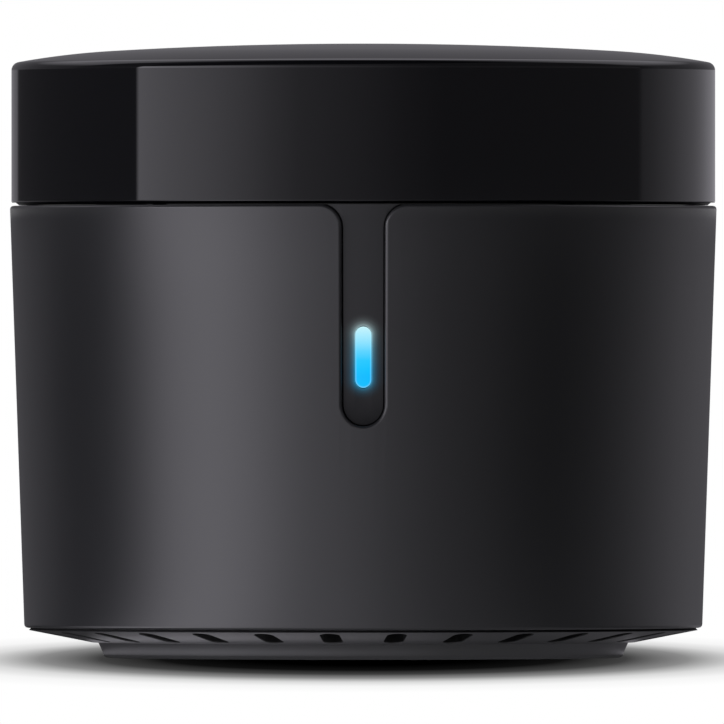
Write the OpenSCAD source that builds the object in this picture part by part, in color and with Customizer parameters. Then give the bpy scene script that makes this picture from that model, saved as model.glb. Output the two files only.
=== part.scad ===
// Small round infrared blaster: a tapered barrel under a domed infrared-clear cap,
// on a vented base with a round foot. Millimetres, +Z up, the front faces -Y.
// The origin is the middle of the foot's underside.

/* [Barrel] */
// Diameter of the barrel at its top edge
barrel_d = 46; // [44:0.5:54]
// Height of the barrel's top edge above the table
barrel_top = 29.4; // [28.6:0.2:36]
// Lean of the barrel's side from upright, in degrees
barrel_lean = 1.96; // [0.5:0.02:2.5]
// Wall of the barrel
barrel_wall = 1.6; // [1.4:0.1:1.9]

/* [Cap] */
// Height of the cap from its lower edge to its crown
cap_h = 10.35; // [10.15:0.1:14]
// How far the cap's side lies inside the barrel's top edge
cap_inset = 0.1; // [0.05:0.05:0.4]
// Wall of the cap
cap_wall = 1.5; // [1.2:0.1:1.9]
// Open seam between the cap and the barrel
seam_gap = 0.2; // [0.1:0.05:0.4]
// Radius of the shallow dome
dome_r = 280; // [200:10:500]
// Radius of the rolled shoulder round the dome
shoulder_r = 50; // [40:1:60]
// Width of the rolled shoulder, measured in from the side
shoulder_w = 6.4; // [4:0.1:8]
// Radius of the cap's top edge
cap_edge_r = 0.55; // [0.4:0.05:1]

/* [Indicator strip] */
// Width of the strip
strip_w = 2.8; // [2.4:0.1:3.4]
// Length of the strip, from the seam to its round end
strip_l = 14.3; // [12.5:0.1:16]
// Radius of the flares where the strip meets the seam
strip_flare_r = 1.5; // [1:0.1:2]
// Depth of the strip's face behind the barrel's surface
strip_depth = 0.35; // [0.2:0.05:0.5]
// Width of the lit window
window_w = 1.07; // [0.9:0.01:1.3]
// Length of the lit window
window_l = 3.95; // [3.5:0.05:4.6]
// Distance from the strip's round end up to the window's middle
window_up = 4.45; // [4.2:0.05:5.5]

/* [Underside] */
// Height of the barrel's lower edge above the table
barrel_bottom = 1.95; // [1.9:0.05:2.3]
// Height of the base's flat ring above the table
base_flat_z = 1; // [0.9:0.05:1.1]
// Number of vent slots
vent_count = 30; // [24:2:34]
// Width of a vent slot
vent_w = 1.3; // [1:0.1:1.5]
// Radial length of a vent slot
vent_l = 3.4; // [3:0.1:3.8]
// How far the foot's side lies inside the vent slots
foot_margin = 0.75; // [0.5:0.05:1]
// How far the foot narrows towards the table
foot_taper = 0.3; // [0.1:0.05:0.5]

/* [Rear port and button] */
// Width of the port opening
port_w = 10.6; // [10:0.1:11.4]
// Height of the port opening
port_h = 6.6; // [6:0.1:7.4]
// Corner radius of the port opening
port_corner_r = 1.2; // [0.8:0.1:1.6]
// Diameter of the reset button
button_d = 2.6; // [2.2:0.1:2.9]
// How far the reset button travels
button_travel = 0.3; // [0.2:0.05:0.4]
// Turn from the port round to the reset button, in degrees
button_turn = 30; // [28:1:32]

/* [Boards and emitters] */
// Height of the main board's underside above the table
main_board_z = 8; // [7.8:0.1:8.6]
// Thickness of both boards
board_t = 1.2; // [1:0.1:1.6]
// Diameter of an emitter's clear body
emitter_d = 5; // [4.6:0.1:5.2]
// Length of an emitter, from its collar's back to its tip
emitter_l = 8.6; // [8.2:0.1:8.8]

/* [Hidden] */
$fn = 64;

// How far a cut runs past the face that it opens
over = 1;
// Clearance between fixed pieces that fit into each other
fit_gap = 0.05;
// Running clearance of the button and the plunger, on the radius
run_gap = 0.08;

// Directions round the axis: the front strip, the rear port, the screws, the clips and the emitters
front_turn = -90;
rear_turn = 90;
board_boss_turns = [0, 120, 240];
pillar_turns = [25, 180, 300];
clip_turns = [45, 135, 225, 315];
emitter_turns = [30, 90, 150, 210, 270, 330];
receiver_turn = 300;
button_angle = rear_turn - button_turn;

// Rounded edges of the barrel, at its top and at its foot
barrel_top_edge_r = 0.2;
barrel_foot_edge_r = 0.3;
// Rounded lower edge of the cap
cap_lower_edge_r = 0.15;

// The barrel's outer and inner radius at a height
function barrel_r(z) = barrel_d / 2 - (barrel_top - z) * tan(barrel_lean);
function barrel_inner_r(z) = barrel_r(z) - barrel_wall;

// Points along an arc in a profile
function arc(x, z, r, from, to, steps) =
    [for (i = [0 : steps]) let (a = from + (to - from) * i / steps) [x + r * cos(a), z + r * sin(a)]];

// Heights that the pieces share
cap_bottom = barrel_top + seam_gap;
cap_top = cap_bottom + cap_h;
main_board_top = main_board_z + board_t;
emitter_board_drop = 0.4;
emitter_board_top = barrel_top - emitter_board_drop;
emitter_board_z = emitter_board_top - board_t;

// Cap: the three arcs of its outline, each tangent to the next
cap_r = barrel_d / 2 - cap_inset;
cap_inner_r = cap_r - cap_wall;
shoulder_start = cap_r - shoulder_w;
dome_z = cap_top - dome_r;
dome_tilt = asin(shoulder_start / dome_r);
shoulder_x = (dome_r - shoulder_r) * sin(dome_tilt);
shoulder_z = dome_z + (dome_r - shoulder_r) * cos(dome_tilt);
edge_x = cap_r - cap_edge_r;
edge_tilt = asin((edge_x - shoulder_x) / (shoulder_r - cap_edge_r));
edge_z = shoulder_z + (shoulder_r - cap_edge_r) * cos(edge_tilt);
inner_tilt = asin((cap_inner_r - shoulder_x) / (shoulder_r - cap_wall));

// Clips that hang from the cap into the barrel
clip_w = 5;
clip_l = 3;
clip_t = 1.2;
clip_gap = 0.15;
clip_root_h = 2;
clip_seat_w = 0.6;
hook_reach = 0.35;
hook_ramp_h = 0.7;
hook_flat_h = 0.3;
clip_bottom = barrel_top - clip_l;
clip_r = barrel_inner_r(clip_bottom) - clip_gap;
hook_top = clip_bottom + hook_ramp_h + hook_flat_h;
pocket_r = clip_r + hook_reach + clip_gap;

// Lip under the cap: it centres the cap in the barrel and closes the seam from inside
lip_gap = 0.15;
lip_t = 0.6;
lip_drop = 0.2;
lip_root_h = 0.8;
lip_slope_h = 0.5;
lip_r = barrel_inner_r(barrel_top) - lip_gap;
lip_bottom = barrel_top - lip_drop;
lip_root_z = cap_bottom + lip_root_h;

// Screws, their pilot holes and the bosses that take them
screw_core_d = 1.64;
pilot_d = 1.7;
screw_hole_d = 2.2;
case_head_d = 3.6;
case_head_h = 1.3;
case_screw_l = 7;
board_head_d = 3.4;
board_head_h = 1.2;
board_screw_l = 5.2;
pilot_spare = 0.8;
cross_l = 2;
cross_w = 0.5;
cross_depth = 0.6;
screw_tip_h = 0.6;
board_boss_d = 4.4;
pillar_d = 4.6;
pillar_h = 9.4;
web_t = 1.4;

// Base: rim, spigot, floor, screw bosses and the recess for the foot
rim_edge = 0.15;
rim_r = barrel_r(barrel_bottom) - barrel_foot_edge_r;
vent_edge = 0.36;
vent_outer_r = rim_r - vent_edge;
vent_inner_r = vent_outer_r - vent_l;
foot_r = vent_inner_r - foot_margin;
foot_gap = 0.1;
foot_lip = 0.3;
foot_recess = 0.3;
foot_recess_z = base_flat_z + foot_recess;
floor_t = 1.3;
floor_top = foot_recess_z + floor_t;
spigot_gap = 0.15;
spigot_t = 1.2;
spigot_h = 2.55;
spigot_r = barrel_inner_r(barrel_bottom) - spigot_gap;
spigot_top = barrel_bottom + spigot_h;
vent_rise = 0.8;
vent_top = floor_top + vent_rise;
foot_cover = 2.1;
pillar_ring_r = foot_r - foot_cover;
base_boss_d = 5.4;
base_boss_h = 1.4;
base_boss_top = floor_top + base_boss_h;
head_clear = 0.2;
head_seat_z = foot_recess_z + case_head_h + fit_gap * 2;
pillar_bottom = base_boss_top + fit_gap;
pillar_web_lift = 0.3;

// Foot and its adhesive
adhesive_t = 0.15;
adhesive_margin = 0.5;
adhesive_z = foot_recess_z - adhesive_t;
foot_edge_r = 0.35;

// Main board: it hangs from the long bosses, clear of the pillars
board_edge_gap = 2.35;
main_board_r = barrel_inner_r(main_board_z) - board_edge_gap;
board_boss_edge = 2;
board_boss_ring_r = main_board_r - board_boss_edge;
notch_gap = 0.4;

// Power socket at the rear edge of the main board
socket_w = 7.5;
socket_h = 2.6;
socket_l = 5.5;
socket_sheet = 0.3;
socket_corner = 0.9;
socket_inset = 0.4;
socket_front = barrel_inner_r(main_board_top) - socket_inset;
socket_back = socket_front - socket_l;
socket_z = main_board_top + socket_h / 2;
tongue_w = 3.7;
tongue_t = 0.6;
tongue_back_l = 1.6;
tongue_setback = 1;
tongue_block_gap = 0.1;
contact_count = 5;
contact_pitch = 0.65;
contact_w = 0.3;
contact_t = 0.15;
contact_tail_l = 0.8;
contact_setback = 0.4;

// Reset button and the switch behind it
pad_d = 5.8;
pad_t = 1.15;
flange_d = 3.6;
flange_t = 0.6;
rod_d = 1.6;
button_recess = 0.15;
switch_w = 6;
switch_depth = 3.6;
switch_h = 4.2;
switch_leg_h = 0.4;
plunger_d = 1.8;
plunger_out = 1;
plunger_in = 0.8;
rod_l = 1.9;
button_z = main_board_top + switch_h / 2;
pad_face = barrel_inner_r(button_z) - pad_t;
flange_face = pad_face - fit_gap;
rod_tip = flange_face - flange_t - rod_l;
plunger_tip = rod_tip - fit_gap;
switch_face = plunger_tip - plunger_out;

// Strip inlay and light pipe
inlay_lap = 1.2;
inlay_flange_t = 1;
inlay_top_gap = 0.3;
strip_bottom = barrel_top - strip_l;
window_z = strip_bottom + window_up;
inlay_back_depth = barrel_wall + fit_gap + inlay_flange_t;
collar_lap = 0.7;
collar_t = 0.7;
pipe_w = 1.6;
pipe_t = 1.8;
pipe_embed = 0.3;
pipe_over = 0.25;
lamp_inset = 0.9;
lamp_w = 1.6;
lamp_l = 0.8;
lamp_h = 0.6;
lamp_gap = 0.3;
lamp_y = main_board_r - lamp_inset;
pipe_front = lamp_y + pipe_t / 2;

// Parts on the main board: the radio board lies near the middle, and the shares are of the board's radius
module_w = 12;
module_l = 16;
module_t = 0.8;
module_x = -2;
can_w = 10.4;
can_l = 10.8;
can_h = 2;
can_sheet = 0.2;
can_margin = 0.8;
capacitor_d = 6.3;
capacitor_h = 6.8;
capacitor_foot = 6.6;
capacitor_foot_h = 1;
capacitor_groove = 0.3;
capacitor_groove_z = 1.2;
capacitor_x_share = 0.464;
capacitor_y_share = -0.229;
chip_w = 5;
chip_l = 4;
chip_h = 1.5;
chip_leg_l = 0.8;
chip_leg_w = 0.4;
chip_leg_t = 0.2;
chip_leg_pitch = 1.27;
chip_legs_a_side = 4;
chip_x_share = 0.431;
chip_y_share = 0.197;
inductor_w = 5;
inductor_h = 3;
inductor_core_d = 3.6;
inductor_core_h = 0.3;
inductor_gap = 0.7;
inductor_x = module_x - module_w / 2 - inductor_gap - inductor_w / 2;
inductor_y_share = 0.36;
passive_l = 1.6;
passive_w = 0.8;
passive_h = 0.5;
// Places of the small parts, as shares in X and Y and a turn
passive_place_shares = [
    [-0.20, 0.62, 0], [-0.05, 0.62, 0], [0.10, 0.62, 0], [-0.34, 0.57, 90], [0.33, 0.42, 90],
    [0.42, 0.40, 0], [0.55, 0.40, 0], [0.20, -0.62, 0], [0.05, -0.62, 0], [-0.10, -0.62, 0],
    [-0.25, -0.62, 0], [0.15, -0.76, 90], [-0.15, -0.76, 90], [-0.62, 0.72, 0], [0.66, -0.45, 90]
];

// Emitters and what holds them
emitter_cap_gap = 1.35;
collar_over = 0.4;
emitter_collar_t = 1;
emitter_lift = 0.3;
emitter_tip = cap_inner_r - emitter_cap_gap;
emitter_back = emitter_tip - emitter_l;
emitter_z = emitter_board_top + emitter_d / 2 + collar_over + emitter_lift;
lead_w = 0.5;
lead_pitch = 2.54;
lead_reach = 1.5;
lead_below = 1;
lead_hole_d = 1;
lead_ring_r = emitter_back - lead_reach;
holder_t = 0.6;
holder_w = 1.4;
holder_gap = 0.2;
cradle_l = 3;
cradle_side = 0.75;
holder_r = emitter_back + emitter_collar_t + holder_gap;
emitter_board_gap = 2.85;
emitter_board_r = barrel_inner_r(emitter_board_z) - emitter_board_gap;

// Receiver, driver parts and resistors of the upper board
receiver_w = 5;
receiver_t = 4;
receiver_h = 7;
receiver_edge = 0.1;
receiver_lens_r = 1.8;
receiver_lens_z = 4.6;
receiver_lens_out = 0.8;
receiver_lead_pitch = 1.27;
receiver_r = emitter_board_r - receiver_edge - receiver_t / 2;
driver_count = 6;
driver_w = 1.3;
driver_l = 2.9;
driver_h = 1.1;
driver_ring_r = 6;
resistor_count = 6;
resistor_w = 1.25;
resistor_l = 2;
resistor_h = 0.5;
resistor_ring_r = 5.8;

// Link between the boards: its plugs lie outside one emitter's legs and beside the left pillar
plug_w = 3;
plug_l = 7;
plug_h = 4;
plug_rim = 0.5;
plug_rim_h = 1.5;
plug_leg_gap = 0.54;
plug_pillar_gap = 0.1;
plug_emitter_turn = emitter_turns[3];
plug_leg_x = lead_ring_r * cos(plug_emitter_turn) + lead_pitch / 2 * sin(plug_emitter_turn) - lead_w / 2;
plug_x = plug_leg_x - plug_leg_gap - plug_rim - plug_w / 2;
plug_y = -pillar_d / 2 - plug_pillar_gap - plug_rim - plug_l / 2;
wire_count = 5;
wire_d = 0.8;
wire_pitch = 1.25;
wire_bow = 1.3;
wire_turn_spare = 5;

// Colours of the visible pieces and of the inside
barrel_colour = "#3c3c40";
cap_colour = "#0d0d10";
strip_colour = "#333337";
window_colour = "#6fd6ff";
base_colour = "#38383b";
foot_colour = "#232326";

// Turns a piece so that its +X points outwards at each of the angles
module around(angles) {
    for (a = angles) {
        rotate([0, 0, a]) children();
    }
}

// A slot outline with round ends, long in Y
module round_slot(w, l) {
    square([w, l - w], center = true);
    for (s = [-1, 1]) {
        translate([0, s * (l - w) / 2]) circle(d = w);
    }
}

// A rectangle with round corners
module round_rect(w, h, r) {
    square([w - 2 * r, h], center = true);
    square([w, h - 2 * r], center = true);
    for (sx = [-1, 1], sy = [-1, 1]) {
        translate([sx * (w / 2 - r), sy * (h / 2 - r)]) circle(r = r);
    }
}

// A block that stands on z = 0, centred in X and Y
module block(w, l, h) {
    translate([-w / 2, -l / 2, 0]) cube([w, l, h]);
}

// A rod along +X from one distance to another
module radial_rod(d, from, to) {
    translate([from, 0, 0]) rotate([0, 90, 0]) cylinder(d = d, h = to - from);
}

// An outline in X and Z, run from the axis out through the front
module through_front() {
    rotate([90, 0, 0]) linear_extrude(height = barrel_d / 2 + over) children();
}

// A ring that follows the barrel's side, between two depths behind its surface
module barrel_layer(near, far, from, to) {
    rotate_extrude() polygon([
        [barrel_r(from) - far, from],
        [barrel_r(from) - near, from],
        [barrel_r(to) - near, to],
        [barrel_r(to) - far, to]
    ]);
}

// The solid inside the middle of the barrel's wall, which trims what grows from the wall
module barrel_core() {
    middle = barrel_wall / 2;
    rotate_extrude() polygon([
        [0, barrel_bottom],
        [barrel_r(barrel_bottom) - middle, barrel_bottom],
        [barrel_r(barrel_top) - middle, barrel_top],
        [0, barrel_top]
    ]);
}

// The strip's outline in X and Z, drawn in by an amount all round
module strip_outline(draw_in) {
    half = strip_w / 2;
    round_z = strip_bottom + half;
    translate([0, round_z]) circle(r = half - draw_in);
    translate([-half + draw_in, round_z]) square([strip_w - 2 * draw_in, barrel_top - round_z]);
    difference() {
        translate([-half - strip_flare_r + draw_in, barrel_top - strip_flare_r])
            square([strip_w + 2 * (strip_flare_r - draw_in), strip_flare_r]);
        for (s = [-1, 1]) {
            translate([s * (half + strip_flare_r), barrel_top - strip_flare_r])
                circle(r = strip_flare_r + draw_in);
        }
    }
}

// A self-tapping screw with a cross in its head, which points down at z = 0 with its shank up
module screw(head_d, head_h, length) {
    difference() {
        translate([0, 0, -head_h]) cylinder(d = head_d, h = head_h);
        translate([0, 0, -head_h - over]) block(cross_l, cross_w, cross_depth + over);
        translate([0, 0, -head_h - over]) block(cross_w, cross_l, cross_depth + over);
    }
    cylinder(d = screw_core_d, h = length - screw_tip_h);
    translate([0, 0, length - screw_tip_h]) cylinder(d1 = screw_core_d, d2 = cross_w, h = screw_tip_h);
}

// Profile of the barrel's wall with its two rounded edges
function barrel_profile() = concat(
    [[barrel_inner_r(barrel_bottom), barrel_bottom]],
    arc(barrel_r(barrel_bottom) - barrel_foot_edge_r, barrel_bottom + barrel_foot_edge_r,
        barrel_foot_edge_r, -90, 0, 4),
    arc(barrel_r(barrel_top) - barrel_top_edge_r, barrel_top - barrel_top_edge_r,
        barrel_top_edge_r, 0, 90, 4),
    [[barrel_inner_r(barrel_top), barrel_top]]
);

// Bosses and pillars that grow from the barrel's wall
module barrel_bosses() {
    boss_h = emitter_board_z - main_board_top;
    web_bottom = spigot_top + pillar_web_lift;
    around(board_boss_turns) {
        translate([board_boss_ring_r, 0, main_board_top]) cylinder(d = board_boss_d, h = boss_h);
        translate([board_boss_ring_r, -web_t / 2, main_board_top])
            cube([barrel_d / 2 - board_boss_ring_r, web_t, boss_h]);
    }
    around(pillar_turns) {
        translate([pillar_ring_r, 0, pillar_bottom]) cylinder(d = pillar_d, h = pillar_h);
        translate([pillar_ring_r, -web_t / 2, web_bottom])
            cube([barrel_d / 2 - pillar_ring_r, web_t, pillar_bottom + pillar_h - web_bottom]);
    }
    around([button_angle]) {
        translate([0, 0, button_z]) radial_rod(pad_d, pad_face, barrel_d / 2);
    }
}

module hook_pockets() {
    half_turn = asin((clip_w / 2 + clip_gap) / clip_r);
    for (a = clip_turns) {
        rotate([0, 0, a - half_turn]) rotate_extrude(angle = 2 * half_turn)
            translate([clip_r, clip_bottom - clip_gap])
                square([pocket_r - clip_r, hook_top - clip_bottom + 2 * clip_gap]);
    }
}

module body_shell() {
    board_pilot_l = board_screw_l - board_t + pilot_spare;
    case_pilot_l = head_seat_z + case_screw_l + pilot_spare - pillar_bottom;
    color(barrel_colour) difference() {
        union() {
            rotate_extrude() polygon(barrel_profile());
            intersection() {
                barrel_bosses();
                barrel_core();
            }
        }
        through_front() strip_outline(0);
        translate([0, barrel_d / 2 + over, socket_z]) rotate([90, 0, 0])
            linear_extrude(height = barrel_d / 2 + over - socket_back)
                round_rect(port_w, port_h, port_corner_r);
        around([button_angle]) {
            translate([0, 0, button_z])
                radial_rod(button_d + 2 * run_gap, pad_face - over, barrel_d / 2 + over);
        }
        hook_pockets();
        around(board_boss_turns) {
            translate([board_boss_ring_r, 0, main_board_top - over])
                cylinder(d = pilot_d, h = board_pilot_l + over);
            translate([board_boss_ring_r, 0, emitter_board_z - board_pilot_l])
                cylinder(d = pilot_d, h = board_pilot_l + over);
        }
        around(pillar_turns) {
            translate([pillar_ring_r, 0, pillar_bottom - over])
                cylinder(d = pilot_d, h = case_pilot_l + over);
        }
    }
}

// Profile of the cap's domed wall, with the lip at its lower edge
function cap_profile() = concat(
    arc(cap_r - cap_lower_edge_r, cap_bottom + cap_lower_edge_r, cap_lower_edge_r, -90, 0, 3),
    arc(edge_x, edge_z, cap_edge_r, 0, 90 - edge_tilt, 8),
    arc(shoulder_x, shoulder_z, shoulder_r, 90 - edge_tilt, 90 - dome_tilt, 6),
    arc(0, dome_z, dome_r, 90 - dome_tilt, 90, 6),
    arc(0, dome_z, dome_r - cap_wall, 90, 90 - dome_tilt, 6),
    arc(shoulder_x, shoulder_z, shoulder_r - cap_wall, 90 - dome_tilt, 90 - inner_tilt, 5),
    [
        [cap_inner_r, lip_root_z + lip_slope_h],
        [lip_r - lip_t, lip_root_z],
        [lip_r - lip_t, lip_bottom],
        [lip_r, lip_bottom],
        [lip_r, cap_bottom]
    ]
);

// One clip: its seat rests on the barrel's top edge and its hook faces outwards
function clip_profile() = [
    [clip_r - clip_t, clip_bottom],
    [clip_r, clip_bottom],
    [clip_r + hook_reach, clip_bottom + hook_ramp_h],
    [clip_r + hook_reach, hook_top],
    [clip_r, hook_top],
    [clip_r, barrel_top],
    [barrel_inner_r(barrel_top) + clip_seat_w, barrel_top],
    [barrel_inner_r(barrel_top) + clip_seat_w, cap_bottom + clip_root_h],
    [clip_r - clip_t, cap_bottom + clip_root_h]
];

module ir_cap() {
    half_turn = asin(clip_w / 2 / clip_r);
    color(cap_colour) union() {
        rotate_extrude() polygon(cap_profile());
        for (a = clip_turns) {
            rotate([0, 0, a - half_turn]) rotate_extrude(angle = 2 * half_turn) polygon(clip_profile());
        }
    }
}

module indicator_inlay() {
    flange_w = strip_w + 2 * inlay_lap;
    flange_bottom = strip_bottom - inlay_lap;
    flange_top = barrel_top - inlay_top_gap;
    color(strip_colour) difference() {
        union() {
            intersection() {
                barrel_layer(strip_depth, barrel_wall + 2 * fit_gap, barrel_bottom, barrel_top);
                through_front() strip_outline(fit_gap);
            }
            intersection() {
                barrel_layer(barrel_wall + fit_gap, inlay_back_depth, barrel_bottom, barrel_top);
                through_front() translate([-flange_w / 2, flange_bottom])
                    square([flange_w, flange_top - flange_bottom]);
            }
        }
        through_front() translate([0, window_z])
            round_slot(window_w + 2 * fit_gap, window_l + 2 * fit_gap);
    }
}

module light_pipe() {
    pipe_top = window_z + window_l / 2 + pipe_over;
    pipe_bottom = main_board_top + lamp_h + lamp_gap;
    collar_near = inlay_back_depth + fit_gap;
    pipe_depth = barrel_r(window_z) - pipe_front;
    color(window_colour) union() {
        intersection() {
            barrel_layer(strip_depth, pipe_depth + pipe_embed, barrel_bottom, barrel_top);
            through_front() translate([0, window_z]) round_slot(window_w, window_l);
        }
        intersection() {
            barrel_layer(collar_near, collar_near + collar_t, barrel_bottom, barrel_top);
            through_front() translate([0, window_z])
                round_slot(window_w + 2 * collar_lap, window_l + 2 * collar_lap);
        }
        translate([pipe_w / 2, 0, 0]) rotate([90, 0, -90]) linear_extrude(height = pipe_w) polygon([
            [pipe_front, pipe_bottom],
            [pipe_front, pipe_top],
            [pipe_front - pipe_t, pipe_top - pipe_t],
            [pipe_front - pipe_t, pipe_bottom]
        ]);
    }
}

// Profile of the base: foot recess, sloped underside, rim, spigot and floor
function base_profile() = [
    [0, foot_recess_z],
    [foot_r + foot_gap, foot_recess_z],
    [foot_r + foot_gap, base_flat_z],
    [foot_r + foot_gap + foot_lip, base_flat_z],
    [rim_r, barrel_bottom - rim_edge],
    [rim_r - rim_edge, barrel_bottom],
    [spigot_r, barrel_bottom],
    [spigot_r, spigot_top],
    [spigot_r - spigot_t, spigot_top],
    [spigot_r - spigot_t, floor_top],
    [0, floor_top]
];

module base_cover() {
    pitch = 360 / vent_count;
    vent_turns = [for (i = [0 : vent_count - 1]) front_turn + pitch * (i + 1 / 2)];
    color(base_colour) difference() {
        union() {
            rotate_extrude() polygon(base_profile());
            around(pillar_turns) {
                translate([pillar_ring_r, 0, foot_recess_z])
                    cylinder(d = base_boss_d, h = base_boss_top - foot_recess_z);
            }
        }
        around(vent_turns) {
            translate([(vent_inner_r + vent_outer_r) / 2, 0, 0]) rotate([0, 0, 90])
                linear_extrude(height = vent_top) round_slot(vent_w, vent_l);
        }
        around(pillar_turns) {
            translate([pillar_ring_r, 0, foot_recess_z - over])
                cylinder(d = case_head_d + 2 * head_clear, h = head_seat_z - foot_recess_z + over);
            translate([pillar_ring_r, 0, foot_recess_z])
                cylinder(d = screw_hole_d, h = base_boss_top - foot_recess_z + over);
        }
    }
}

module rubber_foot() {
    low_r = foot_r - foot_taper;
    color(foot_colour) rotate_extrude() polygon(concat(
        [[0, 0]],
        arc(low_r - foot_edge_r, foot_edge_r, foot_edge_r, -90, 0, 5),
        [[foot_r, base_flat_z], [foot_r, adhesive_z], [0, adhesive_z]]
    ));
}

module foot_adhesive() {
    color("#5a5a52") translate([0, 0, adhesive_z]) cylinder(r = foot_r - adhesive_margin, h = adhesive_t);
}

module case_screws() {
    color("#8a8c90") around(pillar_turns) {
        translate([pillar_ring_r, 0, head_seat_z]) screw(case_head_d, case_head_h, case_screw_l);
    }
}

module main_board() {
    notch_d = pillar_d + 2 * notch_gap;
    color("#1f5a3a") difference() {
        translate([0, 0, main_board_z]) cylinder(r = main_board_r, h = board_t);
        around(pillar_turns) {
            translate([pillar_ring_r, 0, main_board_z - over]) cylinder(d = notch_d, h = board_t + 2 * over);
            translate([pillar_ring_r, -notch_d / 2, main_board_z - over])
                cube([main_board_r, notch_d, board_t + 2 * over]);
        }
        around(board_boss_turns) {
            translate([board_boss_ring_r, 0, main_board_z - over])
                cylinder(d = screw_hole_d, h = board_t + 2 * over);
        }
    }
}

module main_board_screws() {
    color("#8a8c90") around(board_boss_turns) {
        translate([board_boss_ring_r, 0, main_board_z]) screw(board_head_d, board_head_h, board_screw_l);
    }
}

// The socket's outline, flat on the board with its upper corners cut off
module socket_outline(draw_in) {
    half = socket_w / 2 - draw_in;
    low = draw_in;
    high = socket_h - draw_in;
    polygon([
        [-half, low],
        [half, low],
        [half, high - socket_corner],
        [half - socket_corner, high],
        [-half + socket_corner, high],
        [-half, high - socket_corner]
    ]);
}

module usb_socket_shell() {
    color("#b8babd") translate([0, socket_front, main_board_top]) rotate([90, 0, 0]) difference() {
        linear_extrude(height = socket_l) socket_outline(0);
        translate([0, 0, -over]) linear_extrude(height = socket_l + 2 * over) socket_outline(socket_sheet);
    }
}

// The tongue is one moulding with the block at the back of the socket
module usb_socket_tongue() {
    block_w = socket_w - 2 * (socket_sheet + socket_corner);
    block_l = tongue_back_l;
    tongue_top = socket_z + tongue_t / 2;
    block_bottom = main_board_top + socket_sheet;
    color("#1a1a1c") union() {
        translate([-block_w / 2, socket_back, block_bottom])
            cube([block_w, block_l, tongue_top - block_bottom]);
        translate([-tongue_w / 2, socket_back, tongue_top - tongue_t])
            cube([tongue_w, socket_l - tongue_setback, tongue_t]);
    }
}

// Each contact runs along the tongue, down behind the block and out onto the board
module usb_contacts() {
    tongue_top = socket_z + tongue_t / 2;
    back = socket_back - tongue_block_gap - contact_t;
    front = socket_front - tongue_setback - contact_setback;
    color("#c9a24a") for (i = [0 : contact_count - 1]) {
        translate([(i - (contact_count - 1) / 2) * contact_pitch - contact_w / 2, 0, 0]) {
            translate([0, back, tongue_top]) cube([contact_w, front - back, contact_t]);
            translate([0, back, main_board_top]) cube([contact_w, contact_t, tongue_top - main_board_top]);
            translate([0, back - contact_tail_l, main_board_top])
                cube([contact_w, contact_tail_l + contact_t, contact_t]);
        }
    }
}

module reset_button() {
    outer_face = barrel_r(button_z) - button_recess;
    color("#2a2a2d") around([button_angle]) {
        translate([0, 0, button_z]) {
            radial_rod(button_d, flange_face - flange_t, outer_face);
            radial_rod(flange_d, flange_face - flange_t, flange_face);
            radial_rod(rod_d, rod_tip, flange_face);
        }
    }
}

module reset_switch_body() {
    cavity_l = plunger_in + button_travel + run_gap;
    color("#2b2b2e") around([button_angle]) difference() {
        translate([switch_face - switch_depth / 2, 0, main_board_top])
            block(switch_depth, switch_w, switch_h);
        translate([0, 0, button_z])
            radial_rod(plunger_d + 2 * run_gap, switch_face - cavity_l, switch_face + over);
        for (s = [-1, 1]) {
            translate([switch_face, s * switch_w / 2, main_board_top + switch_h])
                rotate([45, 0, 0]) cube([2 * switch_depth + over, switch_leg_h, switch_leg_h], center = true);
        }
    }
}

module switch_plunger() {
    color("#d8d6d0") around([button_angle]) {
        translate([0, 0, button_z]) radial_rod(plunger_d, switch_face - plunger_in, plunger_tip);
    }
}

module wifi_module_board() {
    color("#16324a") translate([module_x, 0, main_board_top]) block(module_w, module_l, module_t);
}

// A drawn steel lid over the radio chips, open underneath
module wifi_shield_can() {
    can_y = -module_l / 2 + can_margin + can_l / 2;
    color("#b4b6b9") translate([module_x, can_y, main_board_top + module_t]) difference() {
        linear_extrude(height = can_h) round_rect(can_w, can_l, can_margin);
        translate([0, 0, -can_sheet]) linear_extrude(height = can_h)
            round_rect(can_w - 2 * can_sheet, can_l - 2 * can_sheet, can_margin - can_sheet);
    }
}

module capacitor_place() {
    translate([capacitor_x_share * main_board_r, capacitor_y_share * main_board_r, main_board_top])
        children();
}

module bulk_capacitor() {
    r = capacitor_d / 2;
    groove_z = capacitor_groove_z;
    color("#a9acb0") capacitor_place() translate([0, 0, capacitor_foot_h])
        rotate_extrude() polygon([
            [0, 0],
            [r, 0],
            [r, groove_z],
            [r - capacitor_groove, groove_z + capacitor_groove],
            [r, groove_z + 2 * capacitor_groove],
            [r, capacitor_h - capacitor_groove],
            [r - capacitor_groove, capacitor_h],
            [0, capacitor_h]
        ]);
}

module capacitor_base() {
    half = capacitor_foot / 2;
    cut = capacitor_foot_h;
    color("#1c1c1e") capacitor_place()
        linear_extrude(height = capacitor_foot_h) polygon([
            [-half, -half], [half - cut, -half], [half, -half + cut],
            [half, half - cut], [half - cut, half], [-half, half]
        ]);
}

module regulator_chip() {
    place = [chip_x_share * main_board_r, chip_y_share * main_board_r, main_board_top];
    color("#1d1d20") translate(place) union() {
        translate([0, 0, chip_leg_t]) block(chip_w, chip_l, chip_h - chip_leg_t);
        for (i = [0 : chip_legs_a_side - 1], s = [-1, 1]) {
            translate([(i - (chip_legs_a_side - 1) / 2) * chip_leg_pitch, s * chip_l / 2, 0])
                block(chip_leg_w, 2 * chip_leg_l, chip_leg_t + chip_leg_t);
        }
    }
}

module power_inductor() {
    color("#3a3a3d") translate([inductor_x, inductor_y_share * main_board_r, main_board_top]) union() {
        linear_extrude(height = inductor_h - inductor_core_h)
            round_rect(inductor_w, inductor_w, inductor_core_h * 2);
        translate([0, 0, inductor_h - inductor_core_h]) cylinder(d = inductor_core_d, h = inductor_core_h);
    }
}

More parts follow.
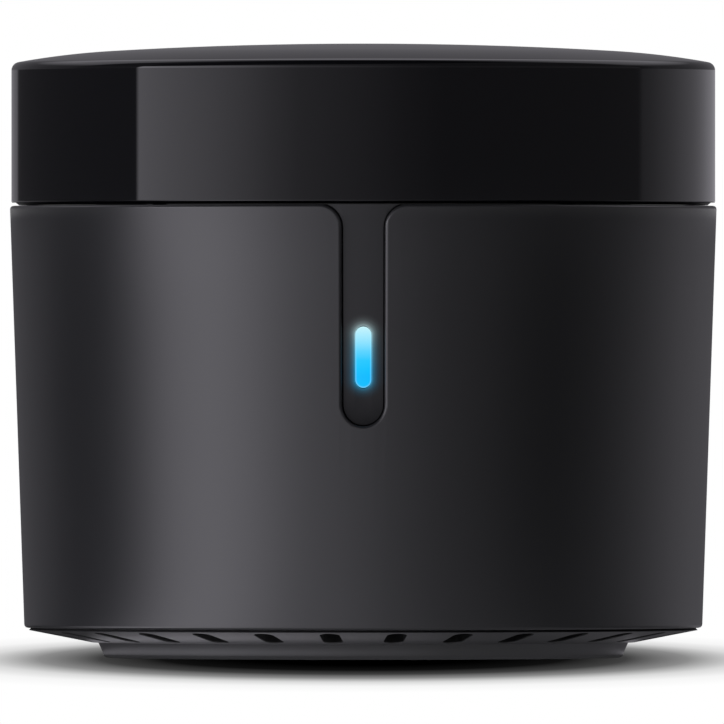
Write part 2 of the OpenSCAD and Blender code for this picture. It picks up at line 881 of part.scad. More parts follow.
module main_board_passives() {
    color("#8c7a5c") for (p = passive_place_shares) {
        translate([p[0] * main_board_r, p[1] * main_board_r, main_board_top])
            rotate([0, 0, p[2]]) block(passive_l, passive_w, passive_h);
    }
}

module indicator_led() {
    color("#e8f6ff") translate([0, -lamp_y, main_board_top]) union() {
        block(lamp_w, lamp_l, lamp_h / 2);
        block(lamp_w - lamp_h, lamp_l, lamp_h);
    }
}

// A wire connector: a plug seated in a lower, wider socket
module connector() {
    block(plug_w, plug_l, plug_h);
    block(plug_w + 2 * plug_rim, plug_l + 2 * plug_rim, plug_rim_h);
}

module main_link_connector() {
    color("#e9e4d6") translate([plug_x, plug_y, main_board_top]) connector();
}

module emitter_link_connector() {
    color("#e9e4d6") translate([plug_x, plug_y, emitter_board_z]) mirror([0, 0, 1]) connector();
}

// A wire bows towards the middle in one arc and ends flat on both connectors
module link_wire(height) {
    r = height * height / (8 * wire_bow) + wire_bow / 2;
    half_turn = asin(height / 2 / r) + wire_turn_spare;
    intersection() {
        translate([wire_bow - r, 0, height / 2]) rotate([90, 0, 0]) rotate([0, 0, -half_turn])
            rotate_extrude(angle = 2 * half_turn) translate([r, 0]) circle(d = wire_d);
        translate([-r, -wire_d, 0]) cube([2 * r, 2 * wire_d, height]);
    }
}

module link_wires() {
    start = main_board_top + plug_h;
    finish = emitter_board_z - plug_h;
    color("#c8392f") for (i = [0 : wire_count - 1]) {
        translate([plug_x, plug_y + (i - (wire_count - 1) / 2) * wire_pitch, start])
            link_wire(finish - start);
    }
}

module emitter_board() {
    hole_h = board_t + 2 * over;
    color("#1f5a3a") difference() {
        translate([0, 0, emitter_board_z]) cylinder(r = emitter_board_r, h = board_t);
        translate([0, 0, emitter_board_z - over]) {
            around(board_boss_turns) {
                translate([board_boss_ring_r, 0, 0]) cylinder(d = screw_hole_d, h = hole_h);
            }
            around(emitter_turns) {
                for (s = [-1, 1]) {
                    translate([lead_ring_r, s * lead_pitch / 2, 0])
                        cylinder(d = lead_hole_d, h = hole_h);
                }
            }
            for (s = [-1, 1]) {
                translate([s * lead_pitch / 2, 0, 0]) cylinder(d = lead_hole_d, h = hole_h);
            }
            around([receiver_turn]) {
                for (i = [-1 : 1]) {
                    translate([receiver_r, i * receiver_lead_pitch, 0])
                        cylinder(d = lead_hole_d, h = hole_h);
                }
            }
        }
    }
}

module emitter_board_screws() {
    color("#8a8c90") around(board_boss_turns) {
        translate([board_boss_ring_r, 0, emitter_board_top]) mirror([0, 0, 1])
            screw(board_head_d, board_head_h, board_screw_l);
    }
}

// A ring on the board with a cradle under each side emitter
module emitter_holder() {
    cradle_w = emitter_d + 2 * cradle_side;
    color("#29292c") difference() {
        union() {
            translate([0, 0, emitter_board_top]) rotate_extrude()
                translate([holder_r, 0]) square([holder_w, holder_t]);
            around(emitter_turns) {
                translate([holder_r, -cradle_w / 2, emitter_board_top])
                    cube([cradle_l, cradle_w, emitter_z - emitter_board_top]);
            }
        }
        around(emitter_turns) {
            translate([0, 0, emitter_z])
                radial_rod(emitter_d + 2 * fit_gap, holder_r - over, holder_r + cradle_l + over);
        }
    }
}

// A clear emitter with its collar at z = 0 and its domed tip up
module emitter() {
    color("#b9c4d6", 0.8) union() {
        cylinder(d = emitter_d + 2 * collar_over, h = emitter_collar_t);
        cylinder(d = emitter_d, h = emitter_l - emitter_d / 2);
        translate([0, 0, emitter_l - emitter_d / 2]) sphere(d = emitter_d);
    }
}

module side_emitter(n) {
    rotate([0, 0, emitter_turns[n - 1]]) translate([emitter_back, 0, emitter_z])
        rotate([0, 90, 0]) emitter();
}

// Two legs of each side emitter run inwards, then down through the board
module side_emitter_leads() {
    leg_bottom = emitter_board_z - lead_below;
    color("#c4c6c9") around(emitter_turns) {
        for (s = [-1, 1]) {
            translate([lead_ring_r - lead_w / 2, s * lead_pitch / 2 - lead_w / 2, 0]) {
                translate([0, 0, emitter_z - lead_w / 2]) cube([lead_reach + lead_w / 2, lead_w, lead_w]);
                translate([0, 0, leg_bottom]) cube([lead_w, lead_w, emitter_z - leg_bottom]);
            }
        }
    }
}

module top_emitter() {
    translate([0, 0, emitter_board_top]) emitter();
}

module top_emitter_leads() {
    color("#c4c6c9") for (s = [-1, 1]) {
        translate([s * lead_pitch / 2, 0, emitter_board_z - lead_below])
            block(lead_w, lead_w, board_t + lead_below);
    }
}

// The receiver stands on the board and looks outwards through the cap
module ir_receiver() {
    face = receiver_r + receiver_t / 2;
    color("#141416") around([receiver_turn]) translate([0, 0, emitter_board_top]) union() {
        translate([receiver_r, 0, 0]) block(receiver_t, receiver_w, receiver_h);
        translate([face + receiver_lens_out - receiver_lens_r, 0, receiver_lens_z])
            sphere(r = receiver_lens_r);
    }
}

module ir_receiver_leads() {
    color("#c4c6c9") around([receiver_turn]) {
        for (i = [-1 : 1]) {
            translate([receiver_r, i * receiver_lead_pitch, emitter_board_z - lead_below])
                block(lead_w, lead_w, board_t + lead_below);
        }
    }
}

module driver_transistors() {
    turns = [for (i = [0 : driver_count - 1]) 360 * i / driver_count];
    color("#1d1d20") around(turns) {
        translate([driver_ring_r, 0, emitter_board_z - driver_h]) block(driver_w, driver_l, driver_h);
    }
}

module emitter_board_resistors() {
    turns = [for (i = [0 : resistor_count - 1]) 360 * i / resistor_count];
    color("#23252b") around(turns) {
        translate([resistor_ring_r, 0, emitter_board_top]) block(resistor_w, resistor_l, resistor_h);
    }
}

body_shell();
ir_cap();
indicator_inlay();
light_pipe();
base_cover();
rubber_foot();
foot_adhesive();
case_screws();
main_board();
main_board_screws();
usb_socket_shell();
usb_socket_tongue();
usb_contacts();
reset_button();
reset_switch_body();
switch_plunger();
wifi_module_board();
wifi_shield_can();
bulk_capacitor();
capacitor_base();
regulator_chip();
power_inductor();
main_board_passives();
indicator_led();
main_link_connector();
link_wires();
emitter_link_connector();
emitter_board();
emitter_board_screws();
emitter_holder();
side_emitter(1);  // side_emitter_1
side_emitter(2);  // side_emitter_2
side_emitter(3);  // side_emitter_3
side_emitter(4);  // side_emitter_4
side_emitter(5);  // side_emitter_5
side_emitter(6);  // side_emitter_6
side_emitter_leads();
top_emitter();
top_emitter_leads();
ir_receiver();
ir_receiver_leads();
driver_transistors();
emitter_board_resistors();
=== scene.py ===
import math

import bmesh
import bpy
from mathutils import Matrix


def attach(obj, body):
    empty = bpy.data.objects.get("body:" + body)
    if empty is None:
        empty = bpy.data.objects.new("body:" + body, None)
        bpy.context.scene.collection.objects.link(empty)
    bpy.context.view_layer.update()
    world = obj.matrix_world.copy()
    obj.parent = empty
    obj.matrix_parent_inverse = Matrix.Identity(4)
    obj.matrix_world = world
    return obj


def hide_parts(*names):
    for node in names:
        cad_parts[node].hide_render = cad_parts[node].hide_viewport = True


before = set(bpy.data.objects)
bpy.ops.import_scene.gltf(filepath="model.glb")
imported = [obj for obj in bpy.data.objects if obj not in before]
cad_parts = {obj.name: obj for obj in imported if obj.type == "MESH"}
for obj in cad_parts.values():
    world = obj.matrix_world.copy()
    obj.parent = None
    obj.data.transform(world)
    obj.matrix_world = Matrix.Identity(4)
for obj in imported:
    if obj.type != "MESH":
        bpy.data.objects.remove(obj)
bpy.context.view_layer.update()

# Barrel: the tapered outer wall of the housing, moulded in one shot from dark grey ABS with a
# fine matt texture. Its notch takes the indicator strip, the port and the button's hole are at
# the back, and bosses, pillars and pockets inside take the screws and the cap's hooks.
MM = 0.001
# Points this close are one, a cut takes points this near as on its plane, and a face whose normal
# has this share of depth faces front or back
weld, on_plane, face_on = 1e-4, 1e-5, 0.999
barrel_top = 29.4
barrel_bottom = 1.95
barrel_top_r = 23.0
barrel_lean = math.tan(math.radians(1.96))
barrel_wall = 1.6
barrel_edge_r = 0.22
sharp_from = 35
mottle_w = 9
sheet_r = 23.0
sheet_columns = 180
strip_half = 1.4
strip_bottom = 15.1
strip_flare_r = 1.5
port_half_w, port_half_h, port_corner_r, port_z = 5.3, 3.3, 1.2, 10.5
button_turn, button_z, button_hole_r = 60, 11.3, 1.38
pad_r, pad_face = 2.9, 19.631
in_wall_r = 21.75
boss_turns, boss_ring_r, boss_r, boss_low, boss_high = (0, 120, 240), 16.318, 2.2, 9.2, 27.8
pillar_turns, pillar_ring_r, pillar_r = (25, 180, 300), 15.151, 2.3
pillar_low, pillar_high = 4.05, 13.45
web_half, web_low = 0.7, 4.8
pilot_r, board_pilot_l, case_pilot_top = 0.85, 4.8, 10.5
clip_turns, clip_r, clip_half_w, clip_gap = (45, 135, 225, 315), 21.147, 2.5, 0.15
hook_low, hook_high, hook_reach = 26.4, 27.4, 0.35
# A cutter runs on past the face that it opens, and a little past the pad, inside the wall's hole
cut_past, cut_past_pad = 1, 0.2


def barrel_r(z):
    """The barrel's outer radius at a height."""
    return barrel_top_r - (barrel_top - z) * barrel_lean


def drawn(bm, start, *strokes):
    """Draws a line in X and Z. A stroke of two numbers runs straight to that point, and one of
    four is an arc: its centre, its anticlockwise turn in degrees and its steps."""
    known = set(bm.edges)
    first = last = bm.verts.new((start[0], 0, start[1]))
    for stroke in strokes:
        if len(stroke) == 2:
            last = bmesh.ops.extrude_vert_indiv(bm, verts=[last])["verts"][0]
            last.co = (stroke[0], 0, stroke[1])
        else:
            x, z, turn, steps = stroke
            swept = bmesh.ops.spin(bm, geom=[last], cent=(x, 0, z), axis=(0, -1, 0),
                                   angle=math.radians(turn), steps=steps)
            last = next(g for g in swept["geom_last"] if isinstance(g, bmesh.types.BMVert))
    if (last.co - first.co).length < weld:
        bmesh.ops.pointmerge(bm, verts=[first, last], merge_co=first.co)
    return [e for e in bm.edges if e not in known]


def raised(bm, faces, rise):
    """Raises faces by a vector, with walls round them, and gives back what is new."""
    new = bmesh.ops.extrude_face_region(bm, geom=faces)["geom"]
    bmesh.ops.translate(bm, verts=[g for g in new if isinstance(g, bmesh.types.BMVert)], vec=rise)
    return new


def slab(bm, loops, near, far, edge_r, edge_steps=3):
    """Fills the loops to a sheet, thickens it from depth near to far and rounds its near edges."""
    sheet = bmesh.ops.triangle_fill(bm, use_beauty=True, use_dissolve=False, edges=loops,
                                    normal=(0, -1, 0))
    faces = [g for g in sheet["geom"] if isinstance(g, bmesh.types.BMFace)]
    verts = {v for f in faces for v in f.verts}
    bmesh.ops.translate(bm, verts=list(verts), vec=(0, far, 0))
    new = raised(bm, faces, (0, near + edge_r - far, 0))
    front = [g for g in new if isinstance(g, bmesh.types.BMFace)]
    bmesh.ops.recalc_face_normals(bm, faces=bm.faces)
    drawn_in = risen = 0
    for step in range(edge_steps if edge_r else 0):
        angle = math.radians(90 * (step + 1) / edge_steps)
        in_by, rise = edge_r * (1 - math.cos(angle)), edge_r * math.sin(angle)
        bmesh.ops.inset_region(bm, faces=front, use_boundary=True, use_even_offset=True,
                               thickness=in_by - drawn_in, depth=rise - risen)
        drawn_in, risen = in_by, rise


def cut_in_columns(bm, low, high, columns):
    """Cuts a flat sheet into upright columns, so that it can be rolled."""
    for i in range(columns + 1):
        x = low + (high - low) * i / columns
        bmesh.ops.bisect_plane(bm, geom=bm.verts[:] + bm.edges[:] + bm.faces[:], dist=on_plane,
                               plane_co=(x, 0, 0), plane_no=(1, 0, 0),
                               clear_inner=i == 0, clear_outer=i == columns)
    bm.normal_update()
    across = [e for e in bm.edges if len(e.link_faces) == 2
              and abs(e.verts[0].co.x - e.verts[1].co.x) > weld
              and all(abs(f.normal.y) > face_on for f in e.link_faces)]
    bmesh.ops.dissolve_edges(bm, edges=across, use_verts=True)


def roll(bm):
    """Rolls a flat sheet round the axis: X runs round the front and Y is the depth."""
    for v in bm.verts:
        turn, r = v.co.x / sheet_r, barrel_r(v.co.z) - v.co.y
        v.co.x, v.co.y = r * math.sin(turn), -r * math.cos(turn)


def swung(bm, known, turn):
    """Swings what isn't known yet round the axis, anticlockwise from +X."""
    bmesh.ops.rotate(bm, cent=(0, 0, 0), verts=[v for v in bm.verts if v not in known],
                     matrix=Matrix.Rotation(math.radians(turn), 3, "Z"))


def post(bm, turn, ring_r, r, low, high):
    """An upright post on a ring round the axis."""
    known = set(bm.verts)
    bmesh.ops.create_cone(bm, cap_ends=True, segments=32, radius1=r, radius2=r, depth=high - low,
                          matrix=Matrix.Translation((ring_r, 0, (low + high) / 2)))
    swung(bm, known, turn)


def web(bm, turn, start, end, half_w, low, high):
    """A flat web that runs outwards."""
    known = set(bm.verts)
    size = Matrix.Diagonal((end - start, 2 * half_w, high - low, 1))
    middle = Matrix.Translation(((start + end) / 2, 0, (low + high) / 2))
    bmesh.ops.create_cube(bm, size=1, matrix=middle @ size)
    swung(bm, known, turn)


def spoke(bm, turn, r, start, end, z):
    """A round bar that runs outwards."""
    known = set(bm.verts)
    place = Matrix.Translation(((start + end) / 2, 0, z)) @ Matrix.Rotation(math.pi / 2, 4, "Y")
    bmesh.ops.create_cone(bm, cap_ends=True, segments=40, radius1=r, radius2=r,
                          depth=end - start, matrix=place)
    swung(bm, known, turn)


def sector(bm, turn, half_w, start, *strokes):
    """A closed profile that runs a short way round the axis."""
    known = set(bm.verts)
    edges = drawn(bm, start, *strokes, start)
    faces = bmesh.ops.contextual_create(bm, geom=edges)["faces"]
    new = [v for v in bm.verts if v not in known]
    half_turn = math.asin(half_w / clip_r)
    bmesh.ops.spin(bm, geom=new + edges + faces, cent=(0, 0, 0), axis=(0, 0, 1),
                   angle=2 * half_turn, steps=8)
    swung(bm, known, turn - math.degrees(half_turn))


def carve(bm, tool, operation="DIFFERENCE"):
    """Cuts the tool's shape out of a shape, or joins the two, and uses the tool up."""
    shapes = []
    for made in (bm, tool):
        bmesh.ops.remove_doubles(made, verts=made.verts, dist=weld)
        bmesh.ops.recalc_face_normals(made, faces=made.faces)
        mesh = bpy.data.meshes.new("shape")
        made.to_mesh(mesh)
        shapes.append(bpy.data.objects.new("shape", mesh))
        bpy.context.scene.collection.objects.link(shapes[-1])
    tool.free()
    cut = shapes[0].modifiers.new("Cut", "BOOLEAN")
    cut.operation, cut.solver, cut.object, cut.use_self = operation, "EXACT", shapes[1], True
    bpy.context.view_layer.update()
    bm.clear()
    bm.from_mesh(shapes[0].evaluated_get(bpy.context.evaluated_depsgraph_get()).to_mesh())
    for shape in shapes:
        mesh = shape.data
        bpy.data.objects.remove(shape)
        bpy.data.meshes.remove(mesh)


def placed(name, bm):
    """Brings a shape from millimetres to metres and puts it in the scene."""
    bmesh.ops.scale(bm, vec=(MM, MM, MM), verts=bm.verts)
    mesh = bpy.data.meshes.new(name)
    bm.to_mesh(mesh)
    bm.free()
    obj = bpy.data.objects.new(name, mesh)
    bpy.context.scene.collection.objects.link(obj)
    return obj


def piece(name, bm, material, body, slot, *nodes):
    """Closes a shape, shades it smooth up to its sharp edges and makes it a piece of the model."""
    bmesh.ops.remove_doubles(bm, verts=bm.verts, dist=weld)
    bmesh.ops.recalc_face_normals(bm, faces=bm.faces)
    obj = placed(name, bm)
    obj.data.shade_smooth()
    obj.data.set_sharp_from_angle(angle=math.radians(sharp_from))
    even = obj.modifiers.new("Even shading", "WEIGHTED_NORMAL")
    even.keep_sharp = True
    obj.data.materials.append(material)
    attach(obj, body)
    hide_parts(*nodes)


def paint(code):
    """An sRGB hex colour as linear red, green, blue and alpha."""
    parts = [int(code[i:i + 2], 16) / 255 for i in (1, 3, 5)]
    return [c / 12.92 if c <= 0.04045 else ((c + 0.055) / 1.055) ** 2.4 for c in parts] + [1.0]


def add(tree, kind, settings=None, links=None):
    """Adds a node with its settings, the stops of its ramp and its links."""
    node = tree.nodes.new("ShaderNode" + kind)
    for key, value in (settings or {}).items():
        if key == "stops":
            ramp = node.color_ramp.elements
            while len(ramp) < len(value):
                ramp.new(1.0)
            for element, (place, colour) in zip(ramp, value):
                element.position, element.color = place, colour
        elif isinstance(key, int) or key in node.inputs:
            node.inputs[key].default_value = value
        else:
            setattr(node, key, value)
    for key, source in (links or {}).items():
        tree.links.new(source, node.inputs[key])
    return node


def finish(name):
    """A new material with its tree, its shader and its object coordinates."""
    material = bpy.data.materials.new(name)
    material.use_nodes = True
    tree = material.node_tree
    return material, tree, tree.nodes["Principled BSDF"], add(tree, "TexCoord").outputs["Object"]


def dress(shader, values, links):
    """Sets some of a shader's own sockets and links others."""
    for key, value in values.items():
        shader.inputs[key].default_value = value
    for key, source in links.items():
        shader.id_data.links.new(source, shader.inputs[key])


def moulded(name, colour, mottle, roughness, spread, grain, depth, specular=0.5, shaded=None):
    """Moulded plastic, resin or rubber: a colour that drifts to mottle, and a grain of that size
    and depth in mm. Where shaded gives 1, shade is painted on it, as black as a deep slot."""
    material, tree, shader, place = finish(name)
    drift = add(tree, "TexNoise", {"Scale": 1 / (mottle_w * MM), "Detail": 3}, {"Vector": place})
    tint = add(tree, "Mix", {"data_type": "RGBA", 6: paint(colour), 7: paint(mottle)},
               {0: drift.outputs["Fac"]})
    fine = add(tree, "TexNoise", {"Scale": 1 / (grain * MM), "Detail": 2}, {"Vector": place})
    rough = add(tree, "MapRange", {"To Min": roughness - spread, "To Max": roughness + spread},
                {"Value": fine.outputs["Fac"]})
    bump = add(tree, "Bump", {"Distance": depth * MM, "Strength": 1.0},
               {"Height": fine.outputs["Fac"]})
    tint, rough = tint.outputs[2], rough.outputs["Result"]
    if shaded:
        painted_shade = shaded(tree, place)
        # Painted shade: near black where shaded gives 1, and the roughness goes up there too
        tint = add(tree, "Mix", {"data_type": "RGBA", 7: paint("#030304")},
                   {0: painted_shade, 6: tint}).outputs[2]
        rough = add(tree, "Math", {"operation": "MAXIMUM"}, {0: painted_shade, 1: rough}).outputs[0]
    dress(shader, {"Specular IOR Level": specular},
          {"Base Color": tint, "Roughness": rough, "Normal": bump.outputs["Normal"]})
    return material


# Matt ABS from an eroded mould: a soft satin sheen without a mirror image
barrel_abs = moulded("matt_grey_abs", "#1e1e21", "#212124", 0.29, 0.02, 0.12, 0.001, 1.0)

# The wall is drawn as a flat sheet with rounded edges and then rolled round the axis. The sheet's
# X counts from the front, a turn counts from +X, and the ends run on until they are cut off.
round_way = 2 * math.pi * sheet_r
port_x = round_way / 2
port_flat_w = sheet_r * math.asin(port_half_w / barrel_r(port_z))
button_x = round_way * (button_turn + 90) / 360
sheet_end = 2

bm = bmesh.new()
low_x, high_x = -round_way / 4 - sheet_end, round_way * 3 / 4 + sheet_end
round_z = strip_bottom + strip_half
flare_x, flare_z = strip_half + strip_flare_r, barrel_top - strip_flare_r
rim = drawn(
    bm, (low_x, barrel_bottom), (high_x, barrel_bottom), (high_x, barrel_top),
    (flare_x, barrel_top), (flare_x, flare_z, 90, 14),
    (strip_half, round_z), (0, round_z, -180, 24),
    (-strip_half, flare_z), (-flare_x, flare_z, 90, 14),
    (low_x, barrel_top), (low_x, barrel_bottom))
inner_w, inner_h = port_flat_w - port_corner_r, port_half_h - port_corner_r
port = drawn(
    bm, (port_x + port_flat_w, port_z + inner_h),
    (port_x + inner_w, port_z + inner_h, 90, 8), (port_x - inner_w, port_z + port_half_h),
    (port_x - inner_w, port_z + inner_h, 90, 8), (port_x - port_flat_w, port_z - inner_h),
    (port_x - inner_w, port_z - inner_h, 90, 8), (port_x + inner_w, port_z - port_half_h),
    (port_x + inner_w, port_z - inner_h, 90, 8), (port_x + port_flat_w, port_z + inner_h))
hole = drawn(bm, (button_x + button_hole_r, button_z), (button_x, button_z, 360, 40))
slab(bm, rim + port + hole, 0, barrel_wall, barrel_edge_r)
cut_in_columns(bm, -round_way / 4, round_way * 3 / 4, sheet_columns)
roll(bm)

grown = bmesh.new()
for turn in boss_turns:
    post(grown, turn, boss_ring_r, boss_r, boss_low, boss_high)
    web(grown, turn, boss_ring_r, in_wall_r, web_half, boss_low, boss_high)
for turn in pillar_turns:
    post(grown, turn, pillar_ring_r, pillar_r, pillar_low, pillar_high)
    web(grown, turn, pillar_ring_r, in_wall_r, web_half, web_low, pillar_high)
spoke(grown, button_turn, pad_r, pad_face, in_wall_r, button_z)
carve(bm, grown, "UNION")

cuts = bmesh.new()
spoke(cuts, button_turn, button_hole_r, pad_face - cut_past, in_wall_r + cut_past_pad, button_z)
for turn in boss_turns:
    post(cuts, turn, boss_ring_r, pilot_r, boss_low - cut_past, boss_low + board_pilot_l)
    post(cuts, turn, boss_ring_r, pilot_r, boss_high - board_pilot_l, boss_high + cut_past)
for turn in pillar_turns:
    post(cuts, turn, pillar_ring_r, pilot_r, pillar_low - cut_past, case_pilot_top)
pocket_r = clip_r + hook_reach + clip_gap
for turn in clip_turns:
    sector(cuts, turn, clip_half_w + clip_gap, (clip_r - cut_past, hook_low - clip_gap),
           (pocket_r, hook_low - clip_gap), (pocket_r, hook_high + clip_gap),
           (clip_r - cut_past, hook_high + clip_gap))
carve(bm, cuts)
piece("barrel", bm, barrel_abs, "housing", "barrel_plastic", "body_shell")

# Indicator strip: a satin black-grey inlay, moulded in ABS and pressed into the notch from
# inside, where its wide flange stops it. Its face lies a third of a millimetre behind the
# barrel's, and light from the lamp bleeds into it round the window.
inlay_gap = 0.05
inlay_depth = 0.35
inlay_edge_r = 0.05
inlay_back = 2.65
flange_near = 1.65
flange_half = 2.6
flange_low, flange_high = 13.9, 29.1
window_half, window_half_l, window_z = 0.535, 1.975, 19.55
glow_reach = 0.8
# Heights over which the painted shade at the strip's lower end fades, so that it grows paler, and
# over which the notch's walls cease to shade it
pale_low, pale_high, pale_gain = 14, 20, 0.85
open_low, open_high = 15.5, 19.5
strip_mottle_w, strip_grain, strip_grain_depth = 5, 0.1, 0.0008
strip_sheet_half, strip_columns = 3.2, 32


def from_window(tree, place):
    """The distance to the window's middle line in metres, and the three coordinates."""
    spot = add(tree, "SeparateXYZ", links={"Vector": place})
    above = add(tree, "Math", {"operation": "SUBTRACT", 1: window_z * MM}, {0: spot.outputs["Z"]})
    above = add(tree, "Math", {"operation": "ABSOLUTE"}, {0: above.outputs[0]})
    above = add(tree, "Math", {"operation": "SUBTRACT", 1: (window_half_l - window_half) * MM},
                {0: above.outputs[0]})
    above = add(tree, "Math", {"operation": "MAXIMUM", 1: 0.0}, {0: above.outputs[0]})
    away = add(tree, "CombineXYZ", links={"X": spot.outputs["X"], "Y": above.outputs[0]})
    away = add(tree, "VectorMath", {"operation": "LENGTH"}, {0: away.outputs[0]})
    return away.outputs["Value"], spot


# Satin ABS with a fine grain, painted darker towards its lower end as shade in the notch. The glow
# round the window is light that spreads under its skin, and it fades within a millimetre.
strip_abs, tree, shader, place = finish("satin_strip_abs")
away, spot = from_window(tree, place)
away = add(tree, "MapRange", {"From Min": window_half * MM,
                              "From Max": (window_half + glow_reach) * MM}, {"Value": away})
fall = add(tree, "ValToRGB", {"stops": [
    (at, (v, v, v, 1)) for at, v in [(0.0, 0.5), (0.12, 0.34), (0.28, 0.16), (0.5, 0.055),
                                     (0.75, 0.015), (1.0, 0.0)]]}, {"Fac": away.outputs["Result"]})
glow_low, glow_high = window_z - window_half_l - glow_reach, window_z + window_half_l + glow_reach
level = add(tree, "MapRange", {"From Min": glow_low * MM, "From Max": glow_high * MM},
            {"Value": spot.outputs["Z"]})
hue = add(tree, "ValToRGB", {"stops": [
    (0.0, paint("#2a86a6")), (0.35, paint("#0a9ccc")), (0.6, paint("#5fb0cc")),
    (0.8, paint("#a8cfd6")), (1.0, paint("#dcecec"))]}, {"Fac": level.outputs["Result"]})
glow = add(tree, "Mix", {"data_type": "RGBA", "blend_type": "MULTIPLY", 0: 1.0},
           {6: hue.outputs["Color"], 7: fall.outputs["Color"]})
drift = add(tree, "TexNoise", {"Scale": 1 / (strip_mottle_w * MM), "Detail": 2}, {"Vector": place})
# Painted shade: the colour grows paler from the notch's lower end upwards, over a random mottle
shade_fade = add(tree, "MapRange", {"From Min": pale_low * MM, "From Max": pale_high * MM},
           {"Value": spot.outputs["Z"]})
shade_fade = add(tree, "Math", {"operation": "MULTIPLY_ADD", 1: pale_gain},
           {0: shade_fade.outputs["Result"], 2: drift.outputs["Fac"]})
tint = add(tree, "Mix", {"data_type": "RGBA", 6: paint("#101012"), 7: paint("#232326")},
           {0: shade_fade.outputs[0]})
fine = add(tree, "TexNoise", {"Scale": 1 / (strip_grain * MM), "Detail": 2}, {"Vector": place})
bump = add(tree, "Bump", {"Distance": strip_grain_depth * MM}, {"Height": fine.outputs["Fac"]})
# The notch's walls shade the strip's lower end
shine = add(tree, "MapRange", {"From Min": open_low * MM, "From Max": open_high * MM,
                               "To Min": 0.2, "To Max": 0.6}, {"Value": spot.outputs["Z"]})
dress(shader, {"Emission Strength": 1.0, "Roughness": 0.34},
      {"Base Color": tint.outputs[2], "Emission Color": glow.outputs[2],
       "Normal": bump.outputs["Normal"], "Specular IOR Level": shine.outputs["Result"]})


def slot_loop(bm, half_w, half_l, z):
    """A long outline with round ends, upright on the front."""
    run = half_l - half_w
    return drawn(bm, (half_w, z - run), (half_w, z + run), (0, z + run, 180, 20),
                 (-half_w, z - run), (0, z - run, 180, 20))


def strip_loop(bm, draw_in):
    """The notch's outline, drawn in all round and closed along its top."""
    half, flare = strip_half - draw_in, strip_flare_r + draw_in
    turn = math.degrees(math.acos(strip_flare_r / flare)) if draw_in else 0
    side = flare_x - flare * math.sin(math.radians(turn))
    return drawn(bm, (side, barrel_top), (flare_x, flare_z, 90 - turn, 14),
                 (half, round_z), (0, round_z, -180, 24),
                 (-half, flare_z), (-flare_x, flare_z, 90 - turn, 14), (side, barrel_top))


opening = window_half + inlay_gap, window_half_l + inlay_gap, window_z
bm = bmesh.new()
slab(bm, strip_loop(bm, inlay_gap) + slot_loop(bm, *opening),
     inlay_depth, flange_near + inlay_edge_r, inlay_edge_r)
flange = bmesh.new()
slab(flange, drawn(flange, (-flange_half, flange_low), (flange_half, flange_low),
                   (flange_half, flange_high), (-flange_half, flange_high),
                   (-flange_half, flange_low))
     + slot_loop(flange, *opening), flange_near, inlay_back, 0)
for part in (bm, flange):
    cut_in_columns(part, -strip_sheet_half, strip_sheet_half, strip_columns)
    roll(part)
carve(bm, flange, "UNION")
piece("indicator_strip", bm, strip_abs, "housing", "strip_plastic", "indicator_inlay")

# Light pipe: one moulding of clear acrylic, snapped in behind the strip. Its foot stands over
# the lamp on the board, its slanted top throws the light forwards, and its front end is the
# window, near white at the top and bright blue at the foot, with a thin paler rim.
collar_near, collar_far = 2.7, 3.4
collar_half, collar_half_l = 1.235, 2.675
pipe_half, pipe_front, pipe_back = 0.8, 18.318, 16.518
pipe_low, pipe_high = 10.1, 21.775
window_far, window_edge_r = 4.645, 0.06
window_sheet_half, window_columns = 1.6, 16
lit_from_y, lit_to_y = -21.0, -21.8
pale_rim_w, pale_rim_full, pale_rim_share = 0.12, 0.02, 0.22

# Clear acrylic with a lit front: it glows, so its own colour is only the dark of its depth
lit_acrylic, tree, shader, place = finish("lit_acrylic")
away, spot = from_window(tree, place)
level = add(tree, "MapRange", {"From Min": (window_z - window_half_l) * MM,
                               "From Max": (window_z + window_half_l) * MM},
            {"Value": spot.outputs["Z"]})
hue = add(tree, "ValToRGB", {"stops": [
    (0.0, paint("#06bcfa")), (0.18, paint("#03b9ff")), (0.3, paint("#0ac0ff")),
    (0.45, paint("#24c6fb")), (0.6, paint("#5cd2fe")), (0.72, paint("#86defb")),
    (0.86, paint("#a8e9fb")), (1.0, paint("#c6f2f8"))]}, {"Fac": level.outputs["Result"]})
edge = add(tree, "MapRange", {"From Min": (window_half - pale_rim_w) * MM,
                              "From Max": (window_half - pale_rim_full) * MM,
                              "To Max": pale_rim_share}, {"Value": away})
lit = add(tree, "Mix", {"data_type": "RGBA", 7: paint("#d8fbff")},
          {0: edge.outputs["Result"], 6: hue.outputs["Color"]})
front = add(tree, "MapRange", {"From Min": lit_from_y * MM, "From Max": lit_to_y * MM},
            {"Value": spot.outputs["Y"]})
lit = add(tree, "Mix", {"data_type": "RGBA", 6: paint("#02141c")},
          {0: front.outputs["Result"], 7: lit.outputs[2]})
dress(shader, {"Base Color": paint("#0a2a36"), "Emission Strength": 1.0, "Roughness": 0.12,
               "IOR": 1.49, "Specular IOR Level": 0.3}, {"Emission Color": lit.outputs[2]})

bm = bmesh.new()
slab(bm, slot_loop(bm, window_half, window_half_l, window_z), inlay_depth, window_far,
     window_edge_r)
collar = bmesh.new()
slab(collar, slot_loop(collar, collar_half, collar_half_l, window_z), collar_near, collar_far, 0)
for part in (bm, collar):
    cut_in_columns(part, -window_sheet_half, window_sheet_half, window_columns)
    roll(part)
carve(bm, collar, "UNION")
pipe = bmesh.new()
bmesh.ops.contextual_create(pipe, geom=drawn(
    pipe, (pipe_front, pipe_low), (pipe_front, pipe_high),
    (pipe_back, pipe_high - pipe_front + pipe_back), (pipe_back, pipe_low),
    (pipe_front, pipe_low)))
bmesh.ops.translate(pipe, verts=pipe.verts, vec=(0, -pipe_half, 0))
raised(pipe, pipe.faces[:], (0, 2 * pipe_half, 0))
swung(pipe, set(), -90)
carve(bm, pipe, "UNION")
piece("light_window", bm, lit_acrylic, "housing", "window_acrylic", "light_pipe")

